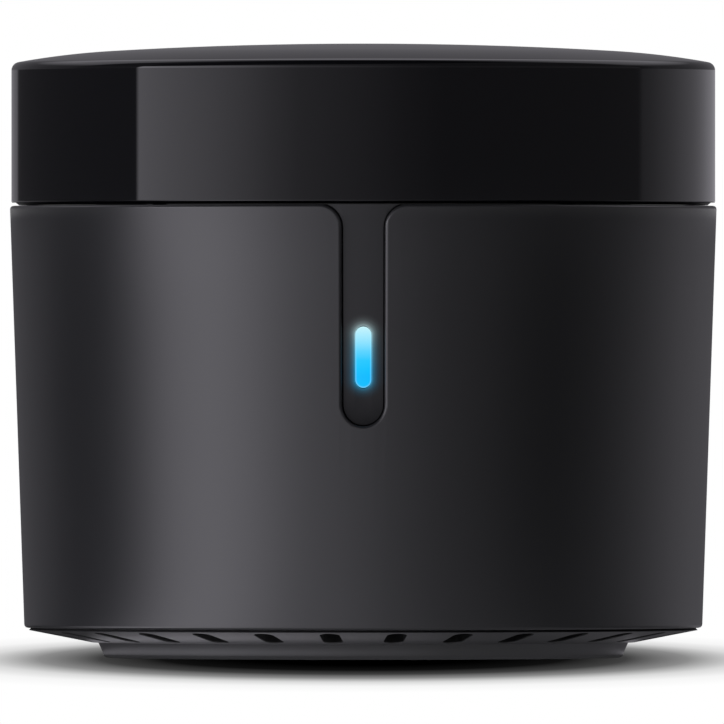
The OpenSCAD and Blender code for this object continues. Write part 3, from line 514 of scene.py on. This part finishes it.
# Main board: glass-fibre laminate under green solder mask, with copper tracks that show through
# it. It hangs from three bosses on zinc-plated screws, and the small radio board lies on it.
# The net of tracks is coarser than a real one, so that it shows
track_pitch, track_share, track_full_share, track_copper_t = 1.6, 0.16, 0.7, 0.035
weave_pitch = 0.4
streak_squash, worn_patch_w = 0.12, 2.5


def masked(name, colour, over_copper):
    """A circuit board: solder mask, lighter and a little raised where a track runs below it."""
    material, tree, shader, place = finish(name)
    flat = add(tree, "Mapping", {"Scale": (1.0, 1.0, 0.0)}, {"Vector": place})
    net = add(tree, "TexVoronoi", {"feature": "DISTANCE_TO_EDGE", "Scale": 1 / (track_pitch * MM),
                                   "Randomness": 0.7}, {"Vector": flat.outputs[0]})
    track = add(tree, "MapRange", {"From Min": track_share * track_full_share,
                                   "From Max": track_share, "To Min": 1.0, "To Max": 0.0},
                {"Value": net.outputs["Distance"]})
    tint = add(tree, "Mix", {"data_type": "RGBA", 6: paint(colour), 7: paint(over_copper)},
               {0: track.outputs["Result"]})
    weave = add(tree, "TexNoise", {"Scale": 1 / (weave_pitch * MM), "Detail": 3}, {"Vector": place})
    rough = add(tree, "MapRange", {"To Min": 0.2, "To Max": 0.34}, {"Value": weave.outputs["Fac"]})
    bump = add(tree, "Bump", {"Distance": track_copper_t * MM}, {"Height": track.outputs["Result"]})
    dress(shader, {}, {"Base Color": tint.outputs[2], "Roughness": rough.outputs["Result"],
                       "Normal": bump.outputs["Normal"]})
    return material


def plated(name, colour, worn, roughness, streak, depth):
    """Plated or drawn metal: a colour that drifts to worn, with upright streaks of that width."""
    material, tree, shader, place = finish(name)
    stretched = add(tree, "Mapping", {"Scale": (1.0, 1.0, streak_squash)}, {"Vector": place})
    lines = add(tree, "TexNoise", {"Scale": 1 / (streak * MM), "Detail": 3},
                {"Vector": stretched.outputs[0]})
    drift = add(tree, "TexNoise", {"Scale": 1 / (worn_patch_w * MM), "Detail": 2},
                {"Vector": place})
    tint = add(tree, "Mix", {"data_type": "RGBA", 6: paint(colour), 7: paint(worn)},
               {0: drift.outputs["Fac"]})
    rough = add(tree, "MapRange", {"To Min": roughness * 0.8, "To Max": roughness * 1.3},
                {"Value": lines.outputs["Fac"]})
    bump = add(tree, "Bump", {"Distance": depth * MM}, {"Height": lines.outputs["Fac"]})
    dress(shader, {"Metallic": 1.0},
          {"Base Color": tint.outputs[2], "Roughness": rough.outputs["Result"],
           "Normal": bump.outputs["Normal"]})
    return material


def coat(material, *names):
    """Gives CAD pieces a finish in place of their plain one."""
    for name in names:
        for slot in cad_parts[name].material_slots:
            slot.material = material


# Green solder mask over the laminate: glossy, with its tracks as a paler net
coat(masked("green_solder_mask", "#174a2e", "#2b6b47"), "main_board", "emitter_board")
# Blue-black solder mask of the bought-in radio board
coat(masked("dark_blue_solder_mask", "#10263a", "#1f4464"), "wifi_module_board")
# Zinc plate on steel: a cool bright grey with the faint lines of the thread rolling
coat(plated("zinc_plated_steel", "#b4b8bd", "#9a9ea4", 0.3, 0.15, 0.003),
     "case_screws", "main_board_screws", "emitter_board_screws")

# Power inlet: a folded shell of nickel-plated steel round a black nylon tongue with five
# gold-plated contacts, soldered to the board's rear edge.

# Nickel plate on sheet steel: warm grey, half bright, with the rolling lines of the sheet
coat(plated("nickel_plated_steel", "#b9b8b4", "#a3a29e", 0.24, 0.1, 0.002), "usb_socket_shell")
# Glass-filled nylon: a matt black with a slight fleck
coat(moulded("glass_filled_nylon", "#141416", "#1c1c1f", 0.5, 0.08, 0.15, 0.004),
     "usb_socket_tongue")
# Hard gold plate: deep yellow, polished by the plug that slides on it
coat(plated("gold_plate", "#d8ae55", "#c49a42", 0.2, 0.05, 0.001), "usb_contacts")

# Reset button: a small key moulded in black ABS that slides in the pad behind the barrel's
# wall. A flange keeps it in, and its rod presses the plunger of the switch behind it.

# Black ABS with a satin sheen, a shade paler than the barrel's
coat(moulded("satin_black_abs", "#232326", "#29292c", 0.32, 0.04, 0.12, 0.001), "reset_button")
# Black nylon of the switch's case: dull, with a fine grain
coat(moulded("black_switch_nylon", "#1d1d20", "#26262a", 0.46, 0.06, 0.2, 0.003),
     "reset_switch_body")
# Acetal of the plunger: slippery, a slightly waxy white
coat(moulded("white_acetal", "#d8d6d0", "#cfcdc6", 0.3, 0.05, 0.2, 0.001), "switch_plunger")

# Parts on the main board: bought-in parts that are placed by machine and soldered flat.

# Tinned steel of the radio's lid: bright, with a satin haze
coat(plated("tinned_steel", "#b9bbbd", "#a9abae", 0.34, 0.12, 0.002), "wifi_shield_can")
# Drawn aluminium can: a soft grey mirror with upright drawing lines
coat(plated("drawn_aluminium", "#bcc0c4", "#aeb2b6", 0.28, 0.08, 0.002), "bulk_capacitor")
# Phenolic base under the can: dull black
coat(moulded("phenolic_resin", "#1a1a1c", "#202022", 0.6, 0.06, 0.25, 0.004), "capacitor_base")
# Filled epoxy round the chips: charcoal with a sandy grain
coat(moulded("filled_epoxy", "#1a1a1c", "#232326", 0.55, 0.08, 0.06, 0.003),
     "regulator_chip", "driver_transistors")
# Pressed ferrite: dark grey, open and matt
coat(moulded("pressed_ferrite", "#333336", "#3f3f43", 0.7, 0.1, 0.12, 0.008), "power_inductor")
# Fired ceramic of the small parts: brown-grey, each block a little different
coat(moulded("fired_ceramic", "#7d6b4d", "#99876a", 0.42, 0.06, 0.2, 0.002),
     "main_board_passives")
# Dark glaze of the resistors
coat(moulded("glazed_ceramic", "#1e2026", "#282b33", 0.3, 0.05, 0.2, 0.002),
     "emitter_board_resistors")
# Clear lens of the indicator's lamp: a pale milky blue, lit from inside
lamp_resin = moulded("milky_lamp_resin", "#e2f1fa", "#d2e6f4", 0.2, 0.04, 0.3, 0.001)
dress(lamp_resin.node_tree.nodes["Principled BSDF"],
      {"Emission Color": paint("#9fe2ff"), "Emission Strength": 0.6}, {})
coat(lamp_resin, "indicator_led")

# Link between the boards: two cream nylon connectors and five soft insulated wires.

# Unfilled nylon: cream, slightly see-through, so it is never quite even
coat(moulded("cream_nylon", "#e9e4d6", "#ded8c6", 0.4, 0.05, 0.3, 0.002),
     "main_link_connector", "emitter_link_connector")
# Soft PVC: an even red with a dull shine
coat(moulded("soft_red_pvc", "#bd362c", "#cc3f33", 0.38, 0.05, 0.25, 0.002), "link_wires")

# Emitters and receiver: cast in coloured epoxy round a tinned frame, on the upper board.
side_emitters, epoxy_mottle_w = 6, 2

# Clear epoxy with a blue cast: glossy, and light runs through it
clear_epoxy, tree, shader, place = finish("clear_blue_epoxy")
drift = add(tree, "TexNoise", {"Scale": 1 / (epoxy_mottle_w * MM), "Detail": 2},
            {"Vector": place})
tint = add(tree, "Mix", {"data_type": "RGBA", 6: paint("#b4c2d8"), 7: paint("#c4d0e2")},
           {0: drift.outputs["Fac"]})
rough = add(tree, "MapRange", {"To Min": 0.04, "To Max": 0.1}, {"Value": drift.outputs["Fac"]})
dress(shader, {"IOR": 1.54, "Transmission Weight": 0.6},
      {"Base Color": tint.outputs[2], "Roughness": rough.outputs["Result"]})
coat(clear_epoxy, "top_emitter", *["side_emitter_%d" % (n + 1) for n in range(side_emitters)])
# Tinned copper legs: bright and slightly rippled by the dip
coat(plated("tinned_copper", "#c2c4c6", "#b0b2b5", 0.26, 0.2, 0.004),
     "side_emitter_leads", "top_emitter_leads", "ir_receiver_leads")
# Dark epoxy that passes infrared: near black and glossy
coat(moulded("infrared_epoxy", "#121214", "#17171a", 0.2, 0.04, 0.2, 0.001), "ir_receiver")
# Black ABS of the ring that holds the emitters: matt, as it comes from the mould
coat(moulded("black_holder_abs", "#222225", "#2a2a2d", 0.44, 0.05, 0.15, 0.002),
     "emitter_holder")

# Cap: glossy black polycarbonate that lets infrared through, injection moulded in a polished
# mould. A shallow dome rolls over a soft shoulder into the upright side, and four clips hook
# into the barrel, inside whose edge a low lip centres the cap and closes the seam.
cap_top = 39.95
cap_bottom = 29.6
cap_r = 22.9
cap_wall = 1.5
cap_lower_r = 0.08
dome_r = 280
dome_z = cap_top - dome_r
dome_tilt = 3.378
shoulder_r, shoulder_x, shoulder_z = 50, 13.554, -10.45
edge_r, edge_x, edge_z, edge_tilt = 0.55, 22.35, 38.211, 10.25
cap_inner_r = cap_r - cap_wall
inner_tilt = 9.31
lip_r, lip_t, lip_bottom, lip_root_z, lip_slope_h = 21.25, 0.6, 29.2, 30.4, 0.5
step_out_r, step_in_r, step_z = 22.62, 22.4, 29.43
clip_t, clip_seat_r, clip_top, hook_ramp = 1.2, 22.0, 31.6, 0.7
cap_mottle_w, cap_wave_w, cap_wave_depth = 12, 7, 0.0006

# Polished polycarbonate: a black mirror. Its faint long waves are those of any moulded skin.
cap_pc, tree, shader, place = finish("polished_black_polycarbonate")
drift = add(tree, "TexNoise", {"Scale": 1 / (cap_mottle_w * MM), "Detail": 2}, {"Vector": place})
tint = add(tree, "Mix", {"data_type": "RGBA", 6: paint("#0a0a0d"), 7: paint("#0c0c0f")},
           {0: drift.outputs["Fac"]})
rough = add(tree, "MapRange", {"To Min": 0.02, "To Max": 0.045}, {"Value": drift.outputs["Fac"]})
wave = add(tree, "TexNoise", {"Scale": 1 / (cap_wave_w * MM), "Detail": 1}, {"Vector": place})
bump = add(tree, "Bump", {"Distance": cap_wave_depth * MM}, {"Height": wave.outputs["Fac"]})
dress(shader, {"IOR": 1.55}, {"Base Color": tint.outputs[2], "Roughness": rough.outputs["Result"],
                              "Normal": bump.outputs["Normal"]})


def turned(bm, steps=360):
    """Turns the drawn profile once round the axis."""
    bmesh.ops.spin(bm, geom=bm.verts[:] + bm.edges[:], cent=(0, 0, 0), axis=(0, 0, 1),
                   angle=2 * math.pi, steps=steps, use_merge=True)


bm = bmesh.new()
drawn(bm, (0, cap_top), (0, dome_z, -dome_tilt, 10),
      (shoulder_x, shoulder_z, dome_tilt - edge_tilt, 12),
      (edge_x, edge_z, edge_tilt - 90, 14), (cap_r, cap_bottom + cap_lower_r),
      (cap_r - cap_lower_r, cap_bottom + cap_lower_r, -90, 4),
      (step_out_r, cap_bottom), (step_in_r, step_z), (lip_r, step_z),
      (lip_r, lip_bottom), (lip_r - lip_t, lip_bottom), (lip_r - lip_t, lip_root_z),
      (cap_inner_r, lip_root_z + lip_slope_h),
      (shoulder_x + (shoulder_r - cap_wall) * math.sin(math.radians(inner_tilt)),
       shoulder_z + (shoulder_r - cap_wall) * math.cos(math.radians(inner_tilt))),
      (shoulder_x, shoulder_z, inner_tilt - dome_tilt, 8), (0, dome_z, dome_tilt, 8))
turned(bm)
clips = bmesh.new()
for turn in clip_turns:
    sector(clips, turn, clip_half_w, (clip_r - clip_t, hook_low), (clip_r, hook_low),
           (clip_r + hook_reach, hook_low + hook_ramp), (clip_r + hook_reach, hook_high),
           (clip_r, hook_high), (clip_r, barrel_top), (clip_seat_r, barrel_top),
           (clip_seat_r, clip_top), (clip_r - clip_t, clip_top))
carve(bm, clips, "UNION")
piece("infrared_cap", bm, cap_pc, "housing", "cap_plastic", "ir_cap")

# Base: the sloped underside, moulded in the barrel's ABS and held by three screws. Thirty
# round-ended slots through its slope let the warm air out, and a spigot centres it in the barrel.
base_flat_z = 1.0
rim_r, rim_edge = 21.761, 0.15
spigot_r, spigot_wall, spigot_top = 20.311, 1.2, 4.5
floor_top = 2.6
recess_r, recess_z, recess_lip = 17.35, 1.3, 0.3
vent_count, vent_w, vent_in, vent_out = 30, 1.3, 18.0, 21.4
vent_h = 3.4
slot_skin, slot_deep = 0.02, 0.09
base_boss_r, base_boss_top = 2.7, 4.0
head_hole_r, head_hole_top, screw_hole_r = 2.0, 2.7, 1.1
slope = (barrel_bottom - rim_edge - base_flat_z) / (rim_r - recess_r - recess_lip)


def from_axis(tree, spot):
    """The distance to the upright axis."""
    flat = add(tree, "CombineXYZ", links={"X": spot.outputs["X"], "Y": spot.outputs["Y"]})
    return add(tree, "VectorMath", {"operation": "LENGTH"}, {0: flat.outputs[0]}).outputs["Value"]


def shade_in_slots(tree, place):
    """Where shade is painted: 1 inside the vent slots, from a fraction of a millimetre behind the
    slope on.
    """
    spot = add(tree, "SeparateXYZ", links={"Vector": place})
    skin = add(tree, "Math", {"operation": "MULTIPLY_ADD", 1: slope,
                              2: (base_flat_z - (recess_r + recess_lip) * slope) * MM},
               {0: from_axis(tree, spot)})
    behind = add(tree, "Math", {"operation": "SUBTRACT"},
                 {0: spot.outputs["Z"], 1: skin.outputs[0]})
    return add(tree, "MapRange", {"From Min": slot_skin * MM, "From Max": slot_deep * MM},
               {"Value": behind.outputs[0]}).outputs["Result"]


# Matt ABS as on the barrel, a little rougher, and painted black as shade in the depth of the slots
# Its colour is a shade paler than the barrel's: painted light on the underside, which faces down
# away from the lamps
base_abs = moulded("matt_base_abs", "#28282b", "#2b2b2e", 0.38, 0.03, 0.12, 0.001, 0.8,
                   shade_in_slots)

bm = bmesh.new()
drawn(bm, (0, recess_z), (recess_r, recess_z), (recess_r, base_flat_z),
      (recess_r + recess_lip, base_flat_z), (rim_r, barrel_bottom - rim_edge),
      (rim_r - rim_edge, barrel_bottom), (spigot_r, barrel_bottom), (spigot_r, spigot_top),
      (spigot_r - spigot_wall, spigot_top), (spigot_r - spigot_wall, floor_top), (0, floor_top))
turned(bm)
bosses = bmesh.new()
for turn in pillar_turns:
    post(bosses, turn, pillar_ring_r, base_boss_r, (recess_z + floor_top) / 2, base_boss_top)
carve(bm, bosses, "UNION")

cuts = bmesh.new()
vent_run = (vent_out - vent_in - vent_w) / 2
vent_middle = (vent_in + vent_out) / 2
for i in range(vent_count):
    known = set(cuts.verts)
    loop = drawn(cuts, (vent_middle - vent_run, -vent_w / 2), (vent_middle + vent_run, -vent_w / 2),
                 (vent_middle + vent_run, 0, 180, 10), (vent_middle - vent_run, vent_w / 2),
                 (vent_middle - vent_run, 0, 180, 10))
    face = bmesh.ops.contextual_create(cuts, geom=loop)["faces"]
    raised(cuts, face, (0, vent_h, 0))
    # Stood up, so that what was drawn in X and Z lies flat
    bmesh.ops.rotate(cuts, cent=(0, 0, 0), verts=[v for v in cuts.verts if v not in known],
                     matrix=Matrix.Rotation(math.pi / 2, 3, "X"))
    swung(cuts, known, 360 / vent_count * (i + 0.5) - 90)
for turn in pillar_turns:
    known = set(cuts.verts)
    head_side, screw_side = pillar_ring_r + head_hole_r, pillar_ring_r + screw_hole_r
    low, high = recess_z - cut_past, base_boss_top + cut_past
    line = drawn(cuts, (pillar_ring_r, low), (head_side, low), (head_side, head_hole_top),
                 (screw_side, head_hole_top), (screw_side, high), (pillar_ring_r, high))
    bmesh.ops.spin(cuts, geom=[v for v in cuts.verts if v not in known] + line,
                   cent=(pillar_ring_r, 0, 0), axis=(0, 0, 1), angle=2 * math.pi, steps=32,
                   use_merge=True)
    swung(cuts, known, turn)
carve(bm, cuts)
piece("base", bm, base_abs, "housing", "base_plastic", "base_cover")

# Foot: a die-cut and ground disc of black silicone rubber with a rounded lower edge, stuck into
# the base's recess with a thin acrylic film. It hides the screws.
foot_r, foot_low_r, foot_edge_r, foot_top = 17.25, 16.95, 0.35, 1.15
foot_steps = 240

# Silicone: soft black-grey, dull, with the fine drag of the grinding
foot_silicone = moulded("silicone_rubber", "#29292c", "#2e2e31", 0.4, 0.03, 0.2, 0.002, 0.6)
# Acrylic film: greyish and slightly stringy
coat(moulded("acrylic_film", "#5a5a52", "#646459", 0.5, 0.08, 0.4, 0.004), "foot_adhesive")

bm = bmesh.new()
drawn(bm, (0, 0), (foot_low_r - foot_edge_r, 0),
      (foot_low_r - foot_edge_r, foot_edge_r, 90, 6), (foot_r, base_flat_z),
      (foot_r, foot_top), (0, foot_top))
turned(bm, foot_steps)
piece("foot", bm, foot_silicone, "housing", "foot_rubber", "rubber_foot")

# Camera: level and far off, so that the seam and the lower edge run straight as in the photo
lens, sensor = 1600, 36
frame_width = 47.12
camera_x, camera_z = -0.085, 19.24
camera = bpy.data.objects.new("camera", bpy.data.cameras.new("camera"))
bpy.context.scene.collection.objects.link(camera)
bpy.context.scene.camera = camera
camera.data.lens = lens
camera.data.sensor_width = sensor
camera.location = (camera_x * MM, -frame_width * MM * lens / sensor, camera_z * MM)
camera.rotation_euler = (math.radians(90), 0, 0)

# Studio: a white surround, one tall softbox at the front left that fades to the right, and dark
# flags. The cards stand where only reflections see them, round the object.
scene = bpy.context.scene
scene.view_settings.view_transform = "Standard"


def in_view(tree):
    """1 where the camera sees the surface, straight or by way of a mirror or clear plastic."""
    ray = add(tree, "LightPath").outputs
    seen = add(tree, "Math", {"operation": "MAXIMUM"},
               {0: ray["Is Camera Ray"], 1: ray["Is Glossy Ray"]})
    return add(tree, "Math", {"operation": "MAXIMUM"},
               {0: seen.outputs[0], 1: ray["Is Transmission Ray"]}).outputs[0]


world = bpy.data.worlds.new("studio")
scene.world = world
world.use_nodes = True
tree = world.node_tree
soft = add(tree, "Background", {"Color": (1, 1, 1, 1), "Strength": 0.16})
white = add(tree, "Background", {"Color": (1, 1, 1, 1), "Strength": 1.0})
mixed = add(tree, "MixShader", links={0: in_view(tree), 1: soft.outputs[0], 2: white.outputs[0]})
tree.links.new(mixed.outputs[0], tree.nodes["World Output"].inputs["Surface"])


def card(name, bm, shade):
    """Makes a card of a shape in millimetres. Its shade turns its object coordinates into how
    bright it is, and only reflections see it."""
    obj = placed(name, bm)
    material = bpy.data.materials.new(name)
    material.use_nodes = True
    tree = material.node_tree
    tree.nodes.remove(tree.nodes["Principled BSDF"])
    spot = add(tree, "SeparateXYZ", links={"Vector": add(tree, "TexCoord").outputs["Object"]})
    colour, strength = shade(tree, spot)
    shine = add(tree, "Emission", {"Strength": strength}, {"Color": colour})
    tree.links.new(shine.outputs[0], tree.nodes["Material Output"].inputs["Surface"])
    obj.data.materials.append(material)
    obj.visible_camera = obj.visible_shadow = obj.visible_transmission = False
    obj.visible_diffuse = False


def cool_grey(v):
    """A grey with the slightly violet cast of the studio's softbox."""
    return (v, 0.97 * v, 1.06 * v, 1)


def round_shade(stops, strength, band=None):
    """Bright by the turn to the right, in degrees from the front. A band of heights and a gain
    make part of it brighter."""
    def shade(tree, spot):
        ahead = add(tree, "Math", {"operation": "MULTIPLY", 1: -1.0}, {0: spot.outputs["Y"]})
        turn = add(tree, "Math", {"operation": "ARCTAN2"},
                   {0: spot.outputs["X"], 1: ahead.outputs[0]})
        part = add(tree, "MapRange", {"From Min": -math.pi, "From Max": math.pi},
                   {"Value": turn.outputs[0]})
        levels = [((t + 180) / 360, cool_grey(v)) for t, v in stops]
        level = add(tree, "ValToRGB", {"stops": levels}, {"Fac": part.outputs["Result"]})
        if not band:
            return level.outputs["Color"], strength
        low, high, gain = band
        up = add(tree, "MapRange", {"From Min": low * MM, "From Max": high * MM},
                 {"Value": spot.outputs["Z"]})
        more = add(tree, "ValToRGB", {"stops": [
            (0.0, (1, 1, 1, 1)), (0.08, (gain, gain, gain, 1)), (0.4, (gain, gain, gain, 1)),
            (1.0, (1, 1, 1, 1))]}, {"Fac": up.outputs["Result"]})
        both = add(tree, "Mix", {"data_type": "RGBA", "blend_type": "MULTIPLY", 0: 1.0},
                   {6: level.outputs["Color"], 7: more.outputs["Color"]})
        return both.outputs[2], strength
    return shade


# The low ring is what the matt barrel mirrors: a disc over the floor with a wall round it
low_ring_in_r, low_ring_out_r, low_ring_low, low_ring_high = 23.5, 60, 0.15, 28.5
ring_steps = 180
bm = bmesh.new()
drawn(bm, (low_ring_in_r, low_ring_low), (low_ring_out_r, low_ring_low),
      (low_ring_out_r, low_ring_high))
turned(bm, ring_steps)
card("barrel_ring", bm, round_shade([
    (-180, 0.08), (-134, 0.10), (-115, 0.09), (-106, 0.05), (-95, 0.0), (-81, 0.0),
    (-76, 0.04), (-68, 0.20), (-61, 0.50), (-54, 0.80), (-43, 1.0), (-33, 0.83), (-22, 0.53),
    (-16, 0.39), (-6, 0.32), (7, 0.18), (20, 0.09), (35, 0.05), (43, 0.015), (56, 0.0),
    (74, 0.055), (86, 0.125), (97, 0.175), (108, 0.2), (121, 0.18), (138, 0.12), (180, 0.08)],
    1.32))

# What the foot and the slope above it mirror lies over the floor, under the barrel's edge
foot_ring_in_r, foot_ring_out_r, foot_ring_z = 17.3, 18.2, 0.06
under_ring_r, under_ring_low, under_ring_high = 23.4, 0.08, 0.12
bm = bmesh.new()
drawn(bm, (foot_ring_in_r, foot_ring_z), (foot_ring_out_r, foot_ring_z))
turned(bm, ring_steps)
card("foot_ring", bm, round_shade([
    (-180, 0.1), (-124, 0.1), (-85, 0.3), (-60, 0.7), (-37, 1.0), (-15, 0.7), (0, 0.4),
    (20, 0.12), (38, 0.05), (70, 0.1), (91, 0.3), (128, 0.8), (150, 0.8), (180, 0.1)], 1.5))
bm = bmesh.new()
drawn(bm, (foot_ring_out_r, under_ring_low), (under_ring_r, under_ring_high))
turned(bm, ring_steps)
card("under_ring", bm, round_shade([
    (-180, 0.05), (-75, 0.04), (-40, 0.03), (-15, 0.06), (0, 0.06), (20, 0.03), (35, 0.05),
    (55, 0.09), (90, 0.1), (180, 0.05)], 1.0))

# The tall ring is what the polished cap mirrors: the softbox with its sharp left side, and flags.
# Its height changes with the turn, and a band of it is brighter.
cap_ring_r, cap_ring_low, cap_ring_top = 300, 28.5, 43
cap_ring_strength, bright_low, bright_high, bright_gain = 1.4, 44, 160, 1.9
ring_tops = [(-180, 43), (-105, 43), (-104, 620), (-79, 620), (-78, 130), (-60, 155), (-40, 210),
             (0, 290), (60, 560), (99, 620), (100, 43), (180, 43)]


def ring_top(turn):
    """The tall ring's height at a turn."""
    spans = zip(ring_tops, ring_tops[1:])
    (a, low), (b, high) = next(span for span in spans if turn <= span[1][0])
    return low + (high - low) * (turn - a) / (b - a)


bm = bmesh.new()
drawn(bm, (cap_ring_r, cap_ring_low), (cap_ring_r, cap_ring_top))
turned(bm)
for v in bm.verts:
    if v.co.z > (cap_ring_low + cap_ring_top) / 2:
        v.co.z = ring_top(math.degrees(math.atan2(v.co.x, -v.co.y)))
card("cap_ring", bm, round_shade([
    (-180, 0.2), (-154, 0.16), (-152.4, 0.04), (-148, 0.03), (-77, 0.045), (-76.5, 1.0),
    (-64, 0.84), (-50, 0.67), (-39, 0.5), (-29, 0.33), (-20, 0.22), (-10, 0.175), (0, 0.135),
    (12, 0.085), (25, 0.055), (99.5, 0.06), (100.5, 0.13), (106, 0.155), (112, 0.19),
    (124, 0.235), (135, 0.25), (150, 0.29), (170, 0.25), (180, 0.2)],
    cap_ring_strength, (bright_low, bright_high, bright_gain)))

# The hood over the back is grey low down, bright halfway up and dark overhead, which draws the
# cap's rim line. Its levels go by the rise above the rim, in degrees.
hood_r, hood_low, hood_top, hood_steps = 340, 43, 640, 120
rim_z, behind_y, front_share = 39, 120, 0.012
hood_levels = [(0, 0.145), (20.5, 0.15), (24, 0.3), (34, 0.72), (55, 0.72), (66, 0.3), (78, 0.02),
               (90, 0.01)]


def hood_shade(tree, spot):
    """Bright by the height behind the object, and dark in front of it."""
    above = add(tree, "Math", {"operation": "SUBTRACT", 1: rim_z * MM}, {0: spot.outputs["Z"]})
    rise = add(tree, "Math", {"operation": "ARCTAN2"},
               {0: above.outputs[0], 1: from_axis(tree, spot)})
    part = add(tree, "MapRange", {"From Max": math.pi / 2}, {"Value": rise.outputs[0]})
    levels = [(t / 90, cool_grey(v)) for t, v in hood_levels]
    level = add(tree, "ValToRGB", {"stops": levels}, {"Fac": part.outputs["Result"]})
    behind = add(tree, "MapRange", {"From Min": 0.0, "From Max": behind_y * MM,
                                    "To Min": front_share, "To Max": 1.0},
                 {"Value": spot.outputs["Y"]})
    both = add(tree, "Mix", {"data_type": "RGBA", "blend_type": "MULTIPLY", 0: 1.0},
               {6: level.outputs["Color"], 7: behind.outputs["Result"]})
    return both.outputs[2], 1.0


bm = bmesh.new()
drawn(bm, (hood_r, hood_low), (hood_r, hood_top), (0, hood_top))
turned(bm, hood_steps)
card("hood", bm, hood_shade)

# Key lamp: a soft square lamp at the front left, aimed at the object's middle. Reflections don't
# show it, because the rings stand for it there.
key_turn, key_rise, key_reach, key_w, key_power = -60, 25, 900, 600, 6.0
middle_z = 20
key = bpy.data.objects.new("key", bpy.data.lights.new("key", "AREA"))
scene.collection.objects.link(key)
key.data.shape, key.data.size, key.data.energy = "SQUARE", key_w * MM, key_power
side, up = math.radians(key_turn), math.radians(key_rise)
out = key_reach * MM * math.cos(up)
key.location = (out * math.sin(side), -out * math.cos(side),
                (middle_z + key_reach * math.sin(up)) * MM)
key.rotation_euler = (math.radians(90) - up, 0, side)
key.visible_glossy = key.visible_camera = False

# Floor: a pale flat sheet a hair below the foot. It is white away from the object, and the
# object's soft contact shadow is painted on it.
floor_r, floor_drop = 400, 0.02
bounce_from, bounce_to, bounce_near, bounce_far = 23, 45, 1.3, 0.2
shadow_from, shadow_to, shadow_squash = 10, 44, (1.28, 0.2, 1.0)
bm = bmesh.new()
bmesh.ops.create_circle(bm, cap_ends=True, segments=96, radius=floor_r)
bmesh.ops.translate(bm, verts=bm.verts, vec=(0, 0, -floor_drop))
floor = placed("floor", bm)
material = bpy.data.materials.new("pale_sweep")
material.use_nodes = True
tree = material.node_tree
shader = tree.nodes["Principled BSDF"]
place = add(tree, "TexCoord").outputs["Object"]
near = add(tree, "VectorMath", {"operation": "LENGTH"}, {0: place})
bounce = add(tree, "MapRange", {"From Min": bounce_from * MM, "From Max": bounce_to * MM,
                                "To Min": bounce_near, "To Max": bounce_far},
             {"Value": near.outputs["Value"]})
dress(shader, {"Base Color": (0.8, 0.8, 0.8, 1), "Roughness": 0.9, "Specular IOR Level": 0.0,
               "Emission Color": (1, 1, 1, 1)}, {"Emission Strength": bounce.outputs["Result"]})
# The shadow reaches six times as far to the front and the back as to the sides, because the level
# camera sees the floor nearly edge-on
squashed = add(tree, "Mapping", {"Scale": shadow_squash}, {"Vector": place})
reach = add(tree, "VectorMath", {"operation": "LENGTH"}, {0: squashed.outputs[0]})
part = add(tree, "MapRange", {"From Min": shadow_from * MM, "From Max": shadow_to * MM},
           {"Value": reach.outputs["Value"]})
shade = add(tree, "ValToRGB", {"stops": [
    (at, (v, v, v, 1)) for at, v in [(0.0, 0.0), (0.05, 0.001), (0.2, 0.005), (0.35, 0.05),
                                     (0.5, 0.26), (0.64, 0.7), (0.785, 0.92), (1.0, 1.0)]]},
    {"Fac": part.outputs["Result"]})
shine = add(tree, "Emission", {"Strength": 1.0}, {"Color": shade.outputs["Color"]})
mixed = add(tree, "MixShader", links={0: in_view(tree), 1: shader.outputs[0], 2: shine.outputs[0]})
tree.links.new(mixed.outputs[0], tree.nodes["Material Output"].inputs["Surface"])
floor.data.materials.append(material)
